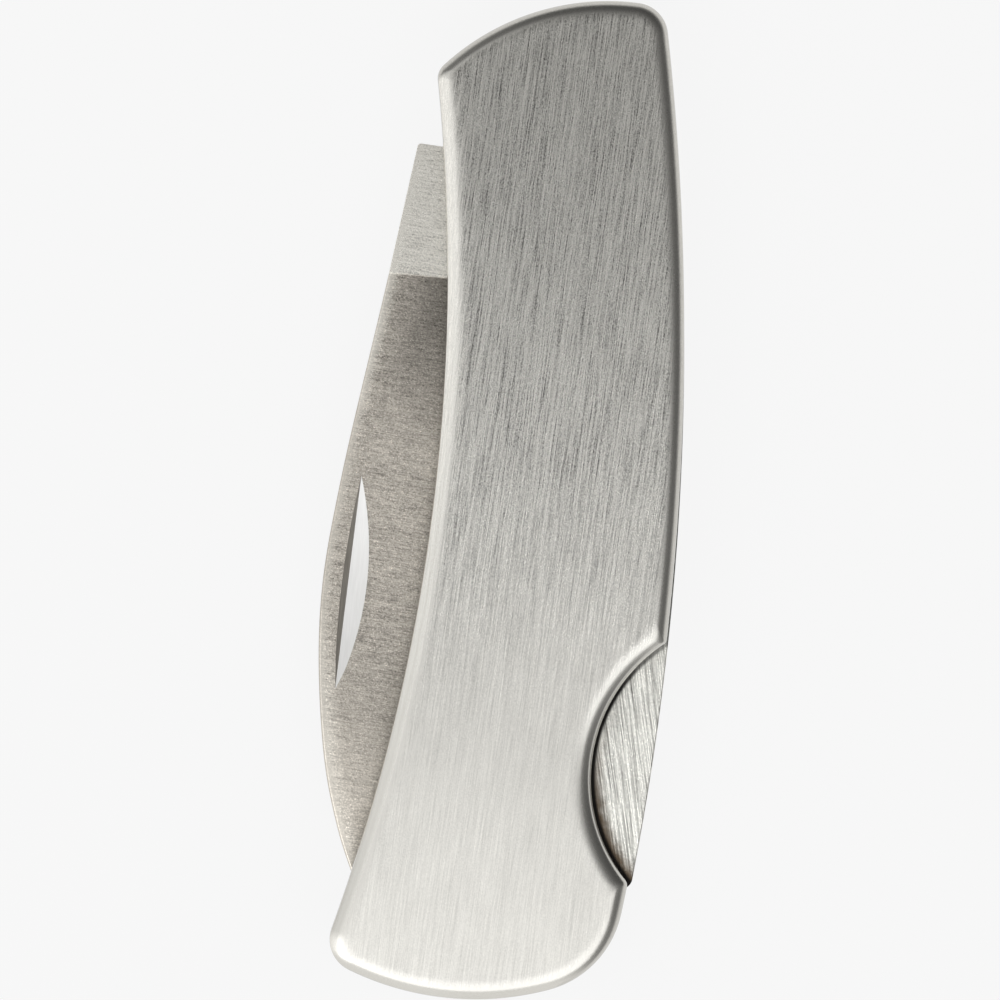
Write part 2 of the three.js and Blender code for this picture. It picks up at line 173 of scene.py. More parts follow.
def bend(start: Point, control: Point, end: Point, steps: int) -> list[Point]:
    """Points along a quadratic curve, without its last one."""
    found = []
    for i in range(steps):
        t = i / steps
        weights = ((1 - t) ** 2, 2 * t * (1 - t), t * t)
        found.append(tuple(sum(w * p[k] for w, p in zip(weights, (start, control, end))) for k in (0, 1)))
    return found


def drawn_in(points: Sequence[Point]) -> Outline:
    """An outline given by its points, which can be drawn in by a small distance.

    Args:
        points: The corners, in either sense.

    Returns:
        A function from a distance to the outline drawn in by it, anticlockwise.
    """
    area = sum(a[0] * b[1] - b[0] * a[1] for a, b in zip(points, [*points[1:], points[0]]))
    corners = list(points) if area > 0 else list(reversed(points))

    def outline(distance: float) -> list[Point]:
        """The corners, each moved square to its sides."""
        moved = []
        for i, point in enumerate(corners):
            before, after = corners[i - 1], corners[(i + 1) % len(corners)]
            normals = []
            for start, end in ((before, point), (point, after)):
                dx, dy = end[0] - start[0], end[1] - start[1]
                length = math.hypot(dx, dy)
                normals.append((-dy / length, dx / length))
            spread = max(1 + normals[0][0] * normals[1][0] + normals[0][1] * normals[1][1], LEAST_SPREAD)
            shift = [distance * (a + b) / spread for a, b in zip(*normals)]
            moved.append((point[0] + shift[0], point[1] + shift[1]))
        return moved

    return outline


@dataclass(frozen=True)
class Stack:
    """What lies on what across the knife's thickness."""

    blade: float = 2.2
    washer: float = 0.15
    side_gap: float = 0.05
    liner: float = 0.7
    cover: float = 2.4

    @property
    def gap_half(self) -> float:
        """Height of the liners' inner faces."""
        return self.blade / 2 + self.washer + self.side_gap

    @property
    def liner_face(self) -> float:
        """Height of the liners' outer faces."""
        return self.gap_half + self.liner

    @property
    def cover_face(self) -> float:
        """Height of the covers' outer faces."""
        return self.liner_face + self.cover


@dataclass(frozen=True)
class Run:
    """A stretch of the handle's outline: its arc and steps, and the fillet at its end with the side that it
    lies on. On a cover its rim's steep part is narrowed by a share, the rest is spread, and the fillet gets
    softer."""

    arc: Arc
    steps: int
    fillet: float
    side: int
    softness: float = 1.3
    share: float = 1.0
    spread: float = 1.0


@dataclass(frozen=True)
class HandleShape:
    """The handle's outline: each arc by its radius and its outermost or innermost point."""

    front_reach: float = 10.13
    front_middle: float = 5.81
    front_radius: float = 19.43
    butt_reach: float = 70.59
    butt_middle: float = -1.47
    butt_radius: float = 23.14
    spine_crown: float = 34.79
    spine_rise: float = 13.35
    spine_radius: float = 218.55
    belly_crown: float = 25.99
    belly_drop: float = 6.24
    belly_radius: float = 154.56
    cutout_depth: float = 5.2
    cutout_radius: float = 13.03
    lug_flat: float = 2.55
    front_spine_fillet: float = 2.69
    front_belly_fillet: float = 1.5
    butt_spine_fillet: float = 8.01
    butt_belly_fillet: float = 2.74
    cutout_front_fillet: float = 0.4
    cutout_rear_fillet: float = 0.8
    least_fillet: float = 0.02
    steep: float = 0.25
    fillet_steps: int = 14

    @property
    def spine(self) -> Arc:
        """The back of the handle."""
        return Arc(self.spine_crown, self.spine_rise - self.spine_radius, self.spine_radius)

    @property
    def butt(self) -> Arc:
        """The rear end of the handle."""
        return Arc(self.butt_reach - self.butt_radius, self.butt_middle, self.butt_radius)

    @property
    def cutout(self) -> Arc:
        """The thumb cut-out, through a corner on the spine just ahead of the rounding of the butt."""
        fillet = self.butt_spine_fillet
        rounding = crossing(self.butt.inset(fillet), self.spine.inset(fillet), 1)
        corner = self.spine.touch(rounding)[0] - self.lug_flat
        y = self.spine_rise - self.cutout_depth + self.cutout_radius
        x = corner - math.sqrt(self.cutout_radius**2 - (self.spine.height_at(corner) - y) ** 2)
        return Arc(x, y, self.cutout_radius, hollow=True)

    def runs(self) -> list[Run]:
        """The stretches of the outline, anticlockwise."""
        hollow = Arc(self.belly_crown, -self.belly_drop - self.belly_radius, self.belly_radius, hollow=True)
        end = Arc(self.front_radius - self.front_reach, self.front_middle, self.front_radius)
        belly = Run(hollow, 70, self.butt_belly_fillet, 1, share=0.3, spread=1.5)
        butt = Run(self.butt, 24, self.butt_spine_fillet, 1, share=0.35, spread=1.15)
        lug = Run(self.spine, 4, self.cutout_rear_fillet, 1)
        cutout = Run(self.cutout, 48, self.cutout_front_fillet, -1, softness=2.3, share=0.6, spread=1.2)
        spine = Run(self.spine, 56, self.front_spine_fillet, -1)
        front = Run(end, 26, self.front_belly_fillet, -1)
        return [belly, butt, lug, cutout, spine, front]

    def cover_outline(self, distance: float) -> list[Point]:
        """The outline of a cover, whose rim is steeper and wider along some stretches."""
        steep, runs = min(distance, self.steep), self.runs()
        sides = [run.arc.inset(steep * run.share + (distance - steep) * run.spread) for run in runs]
        return self.outline(distance, sides, [run.softness for run in runs])

    def outline(
        self, distance: float, sides: list[Arc] | None = None, softness: list[float] | None = None
    ) -> list[Point]:
        """The outline's points, anticlockwise, drawn in by a distance.

        Args:
            distance: How far it is drawn in.
            sides: The stretches' arcs, where they aren't drawn in by that distance.
            softness: How fast each corner gets rounder, where that isn't the same all round.

        Returns:
            The closed outline's points.
        """
        runs = self.runs()
        sides = sides or [run.arc.inset(distance) for run in runs]
        softness = softness or [Run.softness] * len(runs)
        corners = []
        for i, run in enumerate(runs):
            radius = max(run.fillet - distance, self.least_fillet + softness[i] * max(distance, 0.0))
            after = sides[(i + 1) % len(sides)]
            centre = crossing(sides[i].inset(radius), after.inset(radius), run.side)
            corners.append((Arc(*centre, radius), sides[i].touch(centre), after.touch(centre)))
        points = []
        for i, run in enumerate(runs):
            corner, start, end = corners[i]
            points += sides[i].points(corners[i - 1][2], start, run.steps, sides[i].hollow)
            points += corner.points(start, end, self.fillet_steps, clockwise=False)
        return points

    def bar_rear(self, cover: float) -> float:
        """The reach of the lock bar's rear end, which hides under the covers by a given length."""
        return crossing(self.spine, self.cutout, 1)[0] + cover


@dataclass(frozen=True)
class Bore:
    """A round hole, right through a plate or to a depth from its low side."""

    x: float
    y: float
    radius: float
    depth: float | None = None
    steps: int = 40

    def circle(self, height: float) -> list[Triple]:
        """Points round the hole at a height."""
        found = []
        for i in range(self.steps):
            angle = 2 * math.pi * i / self.steps
            x, y = self.radius * math.cos(angle), self.radius * math.sin(angle)
            found.append((self.x + x, self.y + y, height))
        return found


class Skin:
    """Collects rings of points and closes them into a solid mesh."""

    def __init__(self, middle: float) -> None:
        """Starts an empty mesh.

        Args:
            middle: Height of the middle plane over the rest face.
        """
        self.middle = middle
        self.mesh = bmesh.new()
        self.rim = self.mesh.verts.layers.float.new(RIM)

    def ring(self, points: Sequence[Sequence[float]], rim: float = 0.0) -> list[Vert]:
        """Adds a ring of points, and says how far it belongs to a rounded rim."""
        verts = [self.mesh.verts.new((x * MM, y * MM, (z + self.middle) * MM)) for x, y, z in points]
        for vert in verts:
            vert[self.rim] = rim
        return verts

    def band(self, first: Sequence[Vert], second: Sequence[Vert]) -> None:
        """Joins two rings of equal length by a band of faces."""
        count = len(first)
        for i in range(count):
            j = (i + 1) % count
            self.mesh.faces.new((first[i], first[j], second[j], second[i]))

    def cap(self, loops: Sequence[Sequence[Vert]]) -> None:
        """Fills the flat area inside the first loop and outside the others."""
        edges = [
            self.mesh.edges.get((loop[i], loop[(i + 1) % len(loop)]))
            for loop in loops
            for i in range(len(loop))
        ]
        bmesh.ops.triangle_fill(self.mesh, use_beauty=True, use_dissolve=False, edges=edges)

    def data(self, name: str, crease: float = CREASE) -> Mesh:
        """Ends the mesh.

        Args:
            name: The mesh's name.
            crease: The angle in degrees past which an edge stays sharp.

        Returns:
            The mesh, its faces pointing outwards.
        """
        bmesh.ops.recalc_face_normals(self.mesh, faces=self.mesh.faces)
        mesh = bpy.data.meshes.new(name)
        self.mesh.to_mesh(mesh)
        self.mesh.free()
        smooth(mesh, crease)
        return mesh


def smooth(mesh: Mesh, crease: float) -> None:
    """Shades a mesh smooth, apart from edges sharper than an angle in degrees."""
    mesh.polygons.foreach_set("use_smooth", [True] * len(mesh.polygons))
    mesh.set_sharp_from_angle(angle=math.radians(crease))


@dataclass(frozen=True)
class Rim:
    """A rounded rim: an arc from the upright wall to 45 degrees, whose slope then fades into the flat."""

    radius: float
    fade: float

    def rings(self, steps: int) -> list[Triple]:
        """Its rings, from the outermost to the flat face, each as inset, drop and rim mask."""
        turn = math.radians(45)
        inset, drop = self.radius * (1 - math.sin(turn)), self.fade / 3
        found = []
        for i in range(steps):
            lean = math.pi / 2 - (math.pi / 2 - turn) * i / steps
            rise = self.radius * (math.cos(turn) - math.cos(lean))
            found.append((self.radius * (1 - math.sin(lean)), drop + rise, math.sin(lean)))
        for i in range(steps + 1):
            share = 1 - i / steps
            found.append((inset + self.fade * (1 - share), drop * share**3, math.sin(math.atan(share**2))))
        return found


@dataclass(frozen=True)
class Workshop:
    """Cuts and rounds the plates that the knife is made of."""

    stack: Stack
    rim_steps: int = 3
    flat_edge: float = 0.05

    @property
    def middle(self) -> float:
        """Height of the middle plane over the rest face."""
        return self.stack.cover_face

    def levels(self, low: float, high: float, rims: tuple[Rim, Rim]) -> list[Triple]:
        """The rings of a plate with rounded rims, each as inset, height and rim mask."""
        below = [(inset, low + drop, mask) for inset, drop, mask in reversed(rims[0].rings(self.rim_steps))]
        above = [(inset, high - drop, mask) for inset, drop, mask in rims[1].rings(self.rim_steps)]
        start, end = below[0][0] + self.flat_edge, above[-1][0] + self.flat_edge
        return [(start, low, 0.0), *below, *above, (end, high, 0.0)]

    def plate(
        self,
        name: str,
        outline: Outline,
        heights: tuple[float, float],
        rims: tuple[Rim, Rim],
        bores: Sequence[Bore] = (),
        face: Face = Face.UPPER,
    ) -> Mesh:
        """A plate with rounded rims.

        Args:
            name: The mesh's name.
            outline: The outline by the distance that it is drawn in.
            heights: The heights of the plate's low and high face over the middle plane.
            rims: The rims round the low and the high face.
            bores: The holes in it.
            face: The side of the knife that it is made for; the lower side is its mirror.

        Returns:
            The closed mesh.
        """
        sign = face.value
        low, high = heights
        skin = Skin(self.middle)
        rings = [
            skin.ring([(x, y, sign * z) for x, y in outline(inset)], mask)
            for inset, z, mask in self.levels(low, high, rims)
        ]
        for first, second in zip(rings, rings[1:]):
            skin.band(first, second)
        low_loops, high_loops = [rings[0]], [rings[-1]]
        for bore in bores:
            start = skin.ring(bore.circle(sign * low))
            low_loops.append(start)
            end = skin.ring(bore.circle(sign * (high if bore.depth is None else low + bore.depth)))
            skin.band(start, end)
            if bore.depth is None:
                high_loops.append(end)
            else:
                skin.cap([end])
        skin.cap(low_loops)
        skin.cap(high_loops)
        return skin.data(name)

    def loft(self, name: str, rings: Sequence[Sequence[Sequence[float]]], crease: float = CREASE) -> Mesh:
        """A closed skin over rings of equal length."""
        skin = Skin(self.middle)
        made = [skin.ring(ring) for ring in rings]
        for first, second in zip(made, made[1:]):
            skin.band(first, second)
        skin.cap([made[0]])
        skin.cap([made[-1]])
        return skin.data(name, crease)


def placed(name: str, mesh: Mesh) -> bpy.types.Object:
    """Puts a mesh into the scene as an object at the origin."""
    piece = bpy.data.objects.new(name, mesh)
    bpy.context.scene.collection.objects.link(piece)
    return piece


def evaluated_mesh(piece: bpy.types.Object) -> Mesh:
    """The mesh that a piece's modifiers make."""
    depsgraph = bpy.context.evaluated_depsgraph_get()
    return bpy.data.meshes.new_from_object(piece.evaluated_get(depsgraph))


def discard(piece: bpy.types.Object) -> None:
    """Removes a piece and its mesh."""
    mesh = piece.data
    bpy.data.objects.remove(piece)
    bpy.data.meshes.remove(mesh)


def carved(name: str, start: Mesh, steps: Sequence[tuple[str, Mesh]], crease: float) -> Mesh:
    """Adds meshes to a mesh or cuts them from it.

    Args:
        name: The name of the result.
        start: The mesh to start from.
        steps: Boolean operations with the mesh that each uses.
        crease: The angle in degrees past which an edge stays sharp.

    Returns:
        The carved mesh.
    """
    pieces = [placed(name, start)]
    for operation, mesh in steps:
        pieces.append(placed(mesh.name, mesh))
        modifier = pieces[0].modifiers.new(mesh.name, "BOOLEAN")
        modifier.operation = operation
        modifier.solver = "EXACT"
        modifier.material_mode = "TRANSFER"
        modifier.object = pieces[-1]
    made = evaluated_mesh(pieces[0])
    for piece in pieces:
        discard(piece)
    made.name = name
    smooth(made, crease)
    return made


def grown(name: str, points: Sequence[Sequence[float]], tree: Tree, values: dict[str, object]) -> Mesh:
    """The mesh that Geometry Nodes make from a line of points.

    Args:
        name: The mesh's name.
        points: The points, in metres.
        tree: The Geometry Nodes tree.
        values: The values for the tree's inputs.

    Returns:
        The mesh, with the tree's material.
    """
    line = bpy.data.meshes.new(f"{name} line")
    line.from_pydata(points, [(i, i + 1) for i in range(len(points) - 1)], [])
    carrier = placed(line.name, line)
    modifier = carrier.modifiers.new(name, "NODES")
    modifier.node_group = tree
    for item in tree.interface.items_tree:
        if item.in_out == "INPUT" and item.name in values:
            modifier[item.identifier] = values[item.name]
    mesh = evaluated_mesh(carrier)
    discard(carrier)
    mesh.name = name
    smooth(mesh, CREASE)
    return mesh


class NodeBench:
    """Adds nodes to a tree and links them."""

    def __init__(self, tree: Tree) -> None:
        """Takes the tree to work on."""
        self.tree = tree

    def fill(self, node: bpy.types.Node, inputs: dict[str | int, object]) -> None:
        """Gives a node's inputs values or links, by name or index."""
        for key, value in inputs.items():
            if isinstance(value, Socket):
                self.tree.links.new(value, node.inputs[key])
            else:
                node.inputs[key].default_value = value

    def add(
        self, kind: str, inputs: dict[str | int, object] | None = None, **settings: object
    ) -> bpy.types.Node:
        """Adds a node.

        Args:
            kind: The node's type.
            inputs: Values or output sockets for its inputs, by name or index.
            settings: Properties of the node.

        Returns:
            The node.
        """
        node = self.tree.nodes.new(kind)
        for key, value in settings.items():
            setattr(node, key, value)
        self.fill(node, inputs or {})
        return node

    def math(self, operation: str, *values: object, clamp: bool = False) -> Socket:
        """A Math node's result."""
        node = self.add("ShaderNodeMath", dict(enumerate(values)), operation=operation, use_clamp=clamp)
        return node.outputs[0]

    def plus(self, first: object, second: object) -> Socket:
        """The sum of two values."""
        return self.math("ADD", first, second)

    def minus(self, first: object, second: object, clamp: bool = False) -> Socket:
        """The first value less the second."""
        return self.math("SUBTRACT", first, second, clamp=clamp)

    def times(self, first: object, second: object, clamp: bool = False) -> Socket:
        """The product of two values."""
        return self.math("MULTIPLY", first, second, clamp=clamp)

    def between(self, share: object, first: object, second: object) -> Socket:
        """The first value at a share of 0, and the second at 1."""
        return self.plus(self.times(first, self.minus(1.0, share)), self.times(share, second))

    def vector(self, operation: str, *values: object) -> Socket:
        """A Vector Math node's first output, or its value where the operation gives one."""
        node = self.add("ShaderNodeVectorMath", dict(enumerate(values)), operation=operation)
        return node.outputs["Value" if operation in ("DISTANCE", "DOT_PRODUCT") else "Vector"]

    def scaled(self, vector: object, factor: object) -> Socket:
        """A vector times a value."""
        return self.add("ShaderNodeVectorMath", {0: vector, "Scale": factor}, operation="SCALE").outputs[0]

    def axis(self, vector: object, index: int) -> Socket:
        """One coordinate of a vector."""
        return self.add("ShaderNodeSeparateXYZ", {0: vector}).outputs[index]

    def measure(self, name: str) -> Socket:
        """A value that the mesh carries."""
        return self.add("ShaderNodeAttribute", attribute_name=name).outputs["Fac"]

    def ramp(self, value: object, source: Point, target: Point) -> Socket:
        """A smooth step from one range to another."""
        inputs = dict(enumerate((value, *source, *target)))
        return self.add("ShaderNodeMapRange", inputs, interpolation_type="SMOOTHSTEP").outputs[0]

    def mix(self, share: object, first: object, second: object, blend: str = "MIX") -> Socket:
        """A colour between two colours."""
        inputs = {0: share, 6: first, 7: second}
        return self.add("ShaderNodeMix", inputs, data_type="RGBA", blend_type=blend).outputs[2]

    @property
    def given(self) -> bpy.types.NodeOutputs:
        """What a node group is given."""
        return self.tree.nodes["in"].outputs

    def give(self, **results: Socket) -> Tree:
        """Ends a node group with its results."""
        self.fill(self.tree.nodes["out"], results)
        return self.tree

    def give_solid(self, geometry: Socket) -> Tree:
        """Ends a Geometry Nodes tree with real geometry in the given material."""
        real = self.add("GeometryNodeRealizeInstances", {"Geometry": geometry}).outputs[0]
        dressed = self.add("GeometryNodeSetMaterial", {"Geometry": real, "Material": self.given["Material"]})
        return self.give(Geometry=dressed.outputs[0])


def node_group(name: str, family: str, inputs: dict[str, str], outputs: dict[str, str]) -> NodeBench:
    """Starts a node group.

    Args:
        name: The group's name.
        family: Shader or Geometry.
        inputs: The kind of each input's socket.
        outputs: The kind of each output's socket.

    Returns:
        A bench on the group.
    """
    tree = bpy.data.node_groups.new(name, f"{family}NodeTree")
    for way, sockets in (("INPUT", inputs), ("OUTPUT", outputs)):
        for key, kind in sockets.items():
            tree.interface.new_socket(name=key, in_out=way, socket_type=f"NodeSocket{kind}")
    tree.nodes.new("NodeGroupInput").name = "in"
    tree.nodes.new("NodeGroupOutput").name = "out"
    return NodeBench(tree)


def floats(*names: str) -> dict[str, str]:
    """Number sockets for a node group."""
    return dict.fromkeys(names, "Float")


class FinishGroups:
    """The shader node groups that the steel finishes share."""

    contrast: float = 4.0
    fleck_edge: Point = (0.2, 0.5)

    def __init__(self) -> None:
        """Builds the groups."""
        self.scratches = self.build_scratches()
        self.mottling = self.build_mottling()
        self.flecks = self.build_flecks()

    @staticmethod
    def noise(bench: NodeBench, inputs: dict[str, object], **settings: object) -> Socket:
        """Noise round 0."""
        node = bench.add("ShaderNodeTexNoise", {"Scale": 1.0, **inputs}, **settings)
        return bench.minus(node.outputs[0], 0.5)

    @staticmethod
    def in_sizes(bench: NodeBench) -> Socket:
        """The given place, in units of the given size."""
        return bench.scaled(bench.given["Vector"], bench.math("DIVIDE", 1.0, bench.given["Size"]))

    def build_scratches(self) -> Tree:
        """Fine parallel scratches, from -1 to 1 in Tone, with their Height in millimetres."""
        inputs = {"Vector": "Vector", **floats("Turn", "Length", "Width", "Layer")}
        bench = node_group("parallel scratches", "Shader", inputs, floats("Tone", "Height"))
        given = bench.given
        angle = {"Vector": given["Vector"], "Angle": given["Turn"]}
        turn = bench.add("ShaderNodeVectorRotate", angle, rotation_type="Z_AXIS")
        along, across = (bench.math("DIVIDE", 1.0, given[key]) for key in ("Length", "Width"))
        scale = bench.add("ShaderNodeCombineXYZ", {0: along, 1: across, 2: across})
        place = bench.vector("MULTIPLY", turn.outputs[0], scale.outputs[0])
        values = {"Vector": place, "W": given["Layer"], "Detail": 2.0, "Roughness": 0.6}
        noise = self.noise(bench, values, noise_dimensions="4D")
        return bench.give(Tone=bench.times(noise, self.contrast), Height=bench.times(noise, given["Width"]))

    def build_mottling(self) -> Tree:
        """Soft patches of lighter and darker tone, from -1 to 1."""
        inputs = {"Vector": "Vector", **floats("Size")}
        bench = node_group("soft mottling", "Shader", inputs, floats("Tone"))
        noise = self.noise(bench, {"Vector": self.in_sizes(bench), "Detail": 3.0, "Roughness": 0.5})
        return bench.give(Tone=bench.times(noise, self.contrast))

    def build_flecks(self) -> Tree:
        """Tiny bright crystals of a bead-like satin surface, from 0 to 1."""
        inputs = {"Vector": "Vector", **floats("Size", "Share")}
        bench = node_group("bright flecks", "Shader", inputs, floats("Mask"))
        cells = bench.add("ShaderNodeTexVoronoi", {"Vector": self.in_sizes(bench), "Scale": 1.0})
        picked = bench.add("ShaderNodeSeparateColor", {0: cells.outputs["Color"]}).outputs[0]
        chosen = bench.math("LESS_THAN", picked, bench.given["Share"])
        spot = bench.ramp(cells.outputs["Distance"], self.fleck_edge, (1.0, 0.0))
        return bench.give(Mask=bench.times(chosen, spot))


@dataclass(frozen=True)
class Grain:
    """The size and the direction of a steel's scratches."""

    turn: float
    length: float
    width: float
    contrast: float
    depth: float


@dataclass(frozen=True)
class SteelFinish:
    """A steel and the way its surface was finished."""

    name: str
    colour: Triple
    roughness: float
    grains: tuple[Grain, ...]
    anisotropy: float = 0.0
    mottling: float = 0.03
    mottling_size: float = 9.0
    flecks: float = 0.0
    fleck_size: float = 0.12
    fleck_share: float = 0.2
    rim_range: Point = (0.02, 0.3)
    rim_polish: float = 0.0
    rim_smoothing: float = 0.1
    rim_lift: float = 0.0
    unevenness: float = 0.3
    brightest: float = 1.45
    layer_step: float = 3.7
    grain_dip: float = 0.02

    def kept(self, bench: NodeBench, rim: Socket, place: Socket) -> Socket:
        """The share of the scratches that shows, which is less on polished rims."""
        return bench.ramp(rim, self.rim_range, (1.0, 1.0 - self.rim_polish))

    def tone_and_painted_light(self, bench: NodeBench, tone: Socket, place: Socket) -> Socket:
        """Changes the tone where a finish has marks of its own or painted light and shade. A plain finish has
        none.
        """
        return tone

    def stain_and_painted_shade(self, bench: NodeBench, colour: Socket, place: Socket) -> Socket:
        """Changes the colour where a finish has stains of its own, or painted shade. A plain finish has none.
        """
        return colour

    def scratched(self, bench: NodeBench, groups: FinishGroups, place: Socket) -> tuple[Socket, Socket]:
        """The tone and the height of the scratches."""
        tones, heights = [], []
        for layer, grain in enumerate(self.grains):
            inputs = {
                "Vector": place,
                "Turn": math.radians(-grain.turn),
                "Length": grain.length,
                "Width": grain.width,
                "Layer": self.layer_step * layer,
            }
            node = bench.add("ShaderNodeGroup", inputs, node_tree=groups.scratches)
            tones.append(bench.times(node.outputs["Tone"], grain.contrast))
            heights.append(bench.times(node.outputs["Height"], grain.depth))
        return reduce(bench.plus, tones), reduce(bench.plus, heights)

    def across_grain(self, bench: NodeBench) -> Socket:
        """The direction in the surface square to the scratches, in which reflections are drawn out."""
        angle = math.radians(self.grains[0].turn)
        grain = (math.cos(angle), math.sin(angle), self.grain_dip)
        along = bench.add("ShaderNodeVectorTransform", {0: grain}, vector_type="VECTOR")
        along.convert_from, along.convert_to = "OBJECT", "WORLD"
        normal = bench.add("ShaderNodeNewGeometry").outputs["Normal"]
        return bench.vector("NORMALIZE", bench.vector("CROSS_PRODUCT", normal, along.outputs[0]))

    def material(self, groups: FinishGroups) -> bpy.types.Material:
        """Builds the material.

        Args:
            groups: The shader groups to place in it.

        Returns:
            The node material.
        """
        made = bpy.data.materials.new(self.name)
        made.use_nodes = True
        bench = NodeBench(made.node_tree)
        place = bench.scaled(bench.add("ShaderNodeTexCoord").outputs["Object"], 1 / MM)
        rim = bench.measure(RIM)
        keep = self.kept(bench, rim, place)
        tone, height = (bench.times(value, keep) for value in self.scratched(bench, groups, place))
        inputs = {"Vector": place, "Size": self.mottling_size}
        patches = bench.add("ShaderNodeGroup", inputs, node_tree=groups.mottling).outputs["Tone"]
        tone = bench.plus(tone, bench.times(patches, self.mottling))
        if self.flecks:
            inputs = {"Vector": place, "Size": self.fleck_size, "Share": self.fleck_share}
            mask = bench.add("ShaderNodeGroup", inputs, node_tree=groups.flecks).outputs["Mask"]
            tone = bench.plus(tone, bench.times(bench.times(mask, self.flecks), keep))
        tone = bench.plus(bench.plus(tone, bench.times(rim, self.rim_lift)), 1.0)
        tone = bench.math("MINIMUM", self.tone_and_painted_light(bench, tone, place), self.brightest)
        grey = bench.add("ShaderNodeCombineColor", {0: tone, 1: tone, 2: tone}).outputs[0]
        colour = bench.mix(1.0, grey, (*self.colour, 1.0), "MULTIPLY")
        rough = bench.plus(bench.times(bench.minus(1.0, tone), self.unevenness), self.roughness)
        inputs = {
            "Base Color": self.stain_and_painted_shade(bench, colour, place),
            "Metallic": 1.0,
            "Roughness": bench.minus(rough, bench.times(rim, self.rim_smoothing * self.rim_polish)),
            "Normal": bench.add("ShaderNodeBump", {"Height": height, "Distance": MM}).outputs[0],
        }
        if self.anisotropy:
            inputs |= {"Anisotropic": self.anisotropy, "Tangent": self.across_grain(bench)}
        bench.fill(made.node_tree.nodes["Principled BSDF"], inputs)
        return made


@dataclass(frozen=True)
class CoverFinish(SteelFinish):
    """Brushed cover steel, whose scratches calm down towards the butt."""

    calm_reach: Point = (20.0, 53.0)
    calm_share: float = 0.18

    def kept(self, bench: NodeBench, rim: Socket, place: Socket) -> Socket:
        """The share of the scratches that shows."""
        calm = bench.ramp(bench.axis(place, 0), self.calm_reach, (1.0, self.calm_share))
        return bench.times(super().kept(bench, rim, place), calm)


@dataclass(frozen=True)
class BladeFinish(SteelFinish):
    """Satin blade steel: its ground part is darker and warmer than the ricasso, darker partly by its own
    finish and partly by painted dark reflection, which is deepest in a patch just behind the plunge line;
    with painted light it clears towards the back and the tip. A reach is a range along the blade, and a depth
    one from its back."""

    plunge_reach: Point = (13.0, 13.25)
    # The ground part's tone: darker partly by its own finish and partly by painted dark reflection.
    ground: float = 0.575
    # Painted reflection: a dark patch behind the plunge line, darkest away from the back.
    dark_reflection_reach: Point = (15.1, 29.1)
    dark_reflection_depth: Point = (0.0, 4.5)
    dark_reflection_level: Point = (0.05, 0.44)
    # Painted light: the ground part lightens towards the tip.
    tip_light_reach: Point = (45.0, 58.0)
    tip_painted_light: float = 1.3
    # Painted highlight: a lighter strip along the back, behind the plunge line and again further to the rear.
    highlight_strip_depth: Point = (0.1, 1.2)
    strip_reach: Point = (18.1, 29.1)
    strip_light: Point = (0.65, 0.25)
    highlight_on_ricasso: float = 0.45
    rear_highlight_reach: Point = (40.0, 47.0)
    rear_highlight_end: Point = (50.0, 55.0)
    rear_highlight_light: float = 0.14
    rear_highlight_slope: float = 0.6
    calm_depth: Point = (0.15, 0.8)
    calm_at_back: float = 0.3
    calm_reach: Point = (41.0, 52.0)
    calm_at_tip: float = 0.7
    warmth: Triple = (1.02, 0.979, 0.944)

    def kept(self, bench: NodeBench, rim: Socket, place: Socket) -> Socket:
        """The share of the scratches that shows, which is less at the back and towards the tip."""
        back = bench.ramp(bench.measure(FROM_BACK), self.calm_depth, (self.calm_at_back, 1.0))
        tip = bench.ramp(bench.axis(place, 0), self.calm_reach, (1.0, self.calm_at_tip))
        return bench.times(super().kept(bench, rim, place), bench.times(back, tip))

    def tone_and_painted_light(self, bench: NodeBench, tone: Socket, place: Socket) -> Socket:
        """Darkens the ground part, partly with painted dark reflection, and paints a highlight on the strip
        along the back.
        """
        x = bench.axis(place, 0)
        depth = bench.ramp(bench.measure(FROM_BACK), self.dark_reflection_depth, self.dark_reflection_level)
        level = bench.minus(1.0, bench.times(bench.ramp(x, self.dark_reflection_reach, (1.0, 0.0)), depth))
        level = bench.times(level, bench.ramp(x, self.tip_light_reach, (1.0, self.tip_painted_light)))
        level = bench.minus(bench.times(level, self.ground), 1.0)
        level = bench.plus(bench.times(level, self.behind_plunge(bench, place)), 1.0)
        return bench.times(tone, bench.times(level, bench.plus(self.strip(bench, place), 1.0)))

    def strip(self, bench: NodeBench, place: Socket) -> Socket:
        """How much lighter the painted highlight strip along the back is, which is wider near the tip."""
        x = bench.axis(place, 0)
        slope = bench.ramp(x, self.rear_highlight_reach, (1.0, self.rear_highlight_slope))
        front = bench.ramp(x, self.strip_reach, self.strip_light)
        front = bench.times(front, bench.ramp(x, self.plunge_reach, (self.highlight_on_ricasso, 1.0)))
        rear = bench.ramp(x, self.rear_highlight_reach, (0.0, self.rear_highlight_light))
        rear = bench.times(rear, bench.ramp(x, self.rear_highlight_end, (1.0, 0.0)))
        near = bench.ramp(bench.times(bench.measure(FROM_BACK), slope), self.highlight_strip_depth, (1.0, 0.0))
        return bench.times(bench.plus(front, rear), near)

    def stain_and_painted_shade(self, bench: NodeBench, colour: Socket, place: Socket) -> Socket:
        """Warms the ground part, and less so the painted highlight strip along the back."""
        share = bench.minus(self.behind_plunge(bench, place), self.strip(bench, place), clamp=True)
        return bench.mix(share, colour, (*self.warmth, 1.0), "MULTIPLY")

    def behind_plunge(self, bench: NodeBench, place: Socket) -> Socket:
        """1 on the ground part and 0 on the ricasso."""
        return bench.ramp(bench.axis(place, 0), self.plunge_reach, (0.0, 1.0))


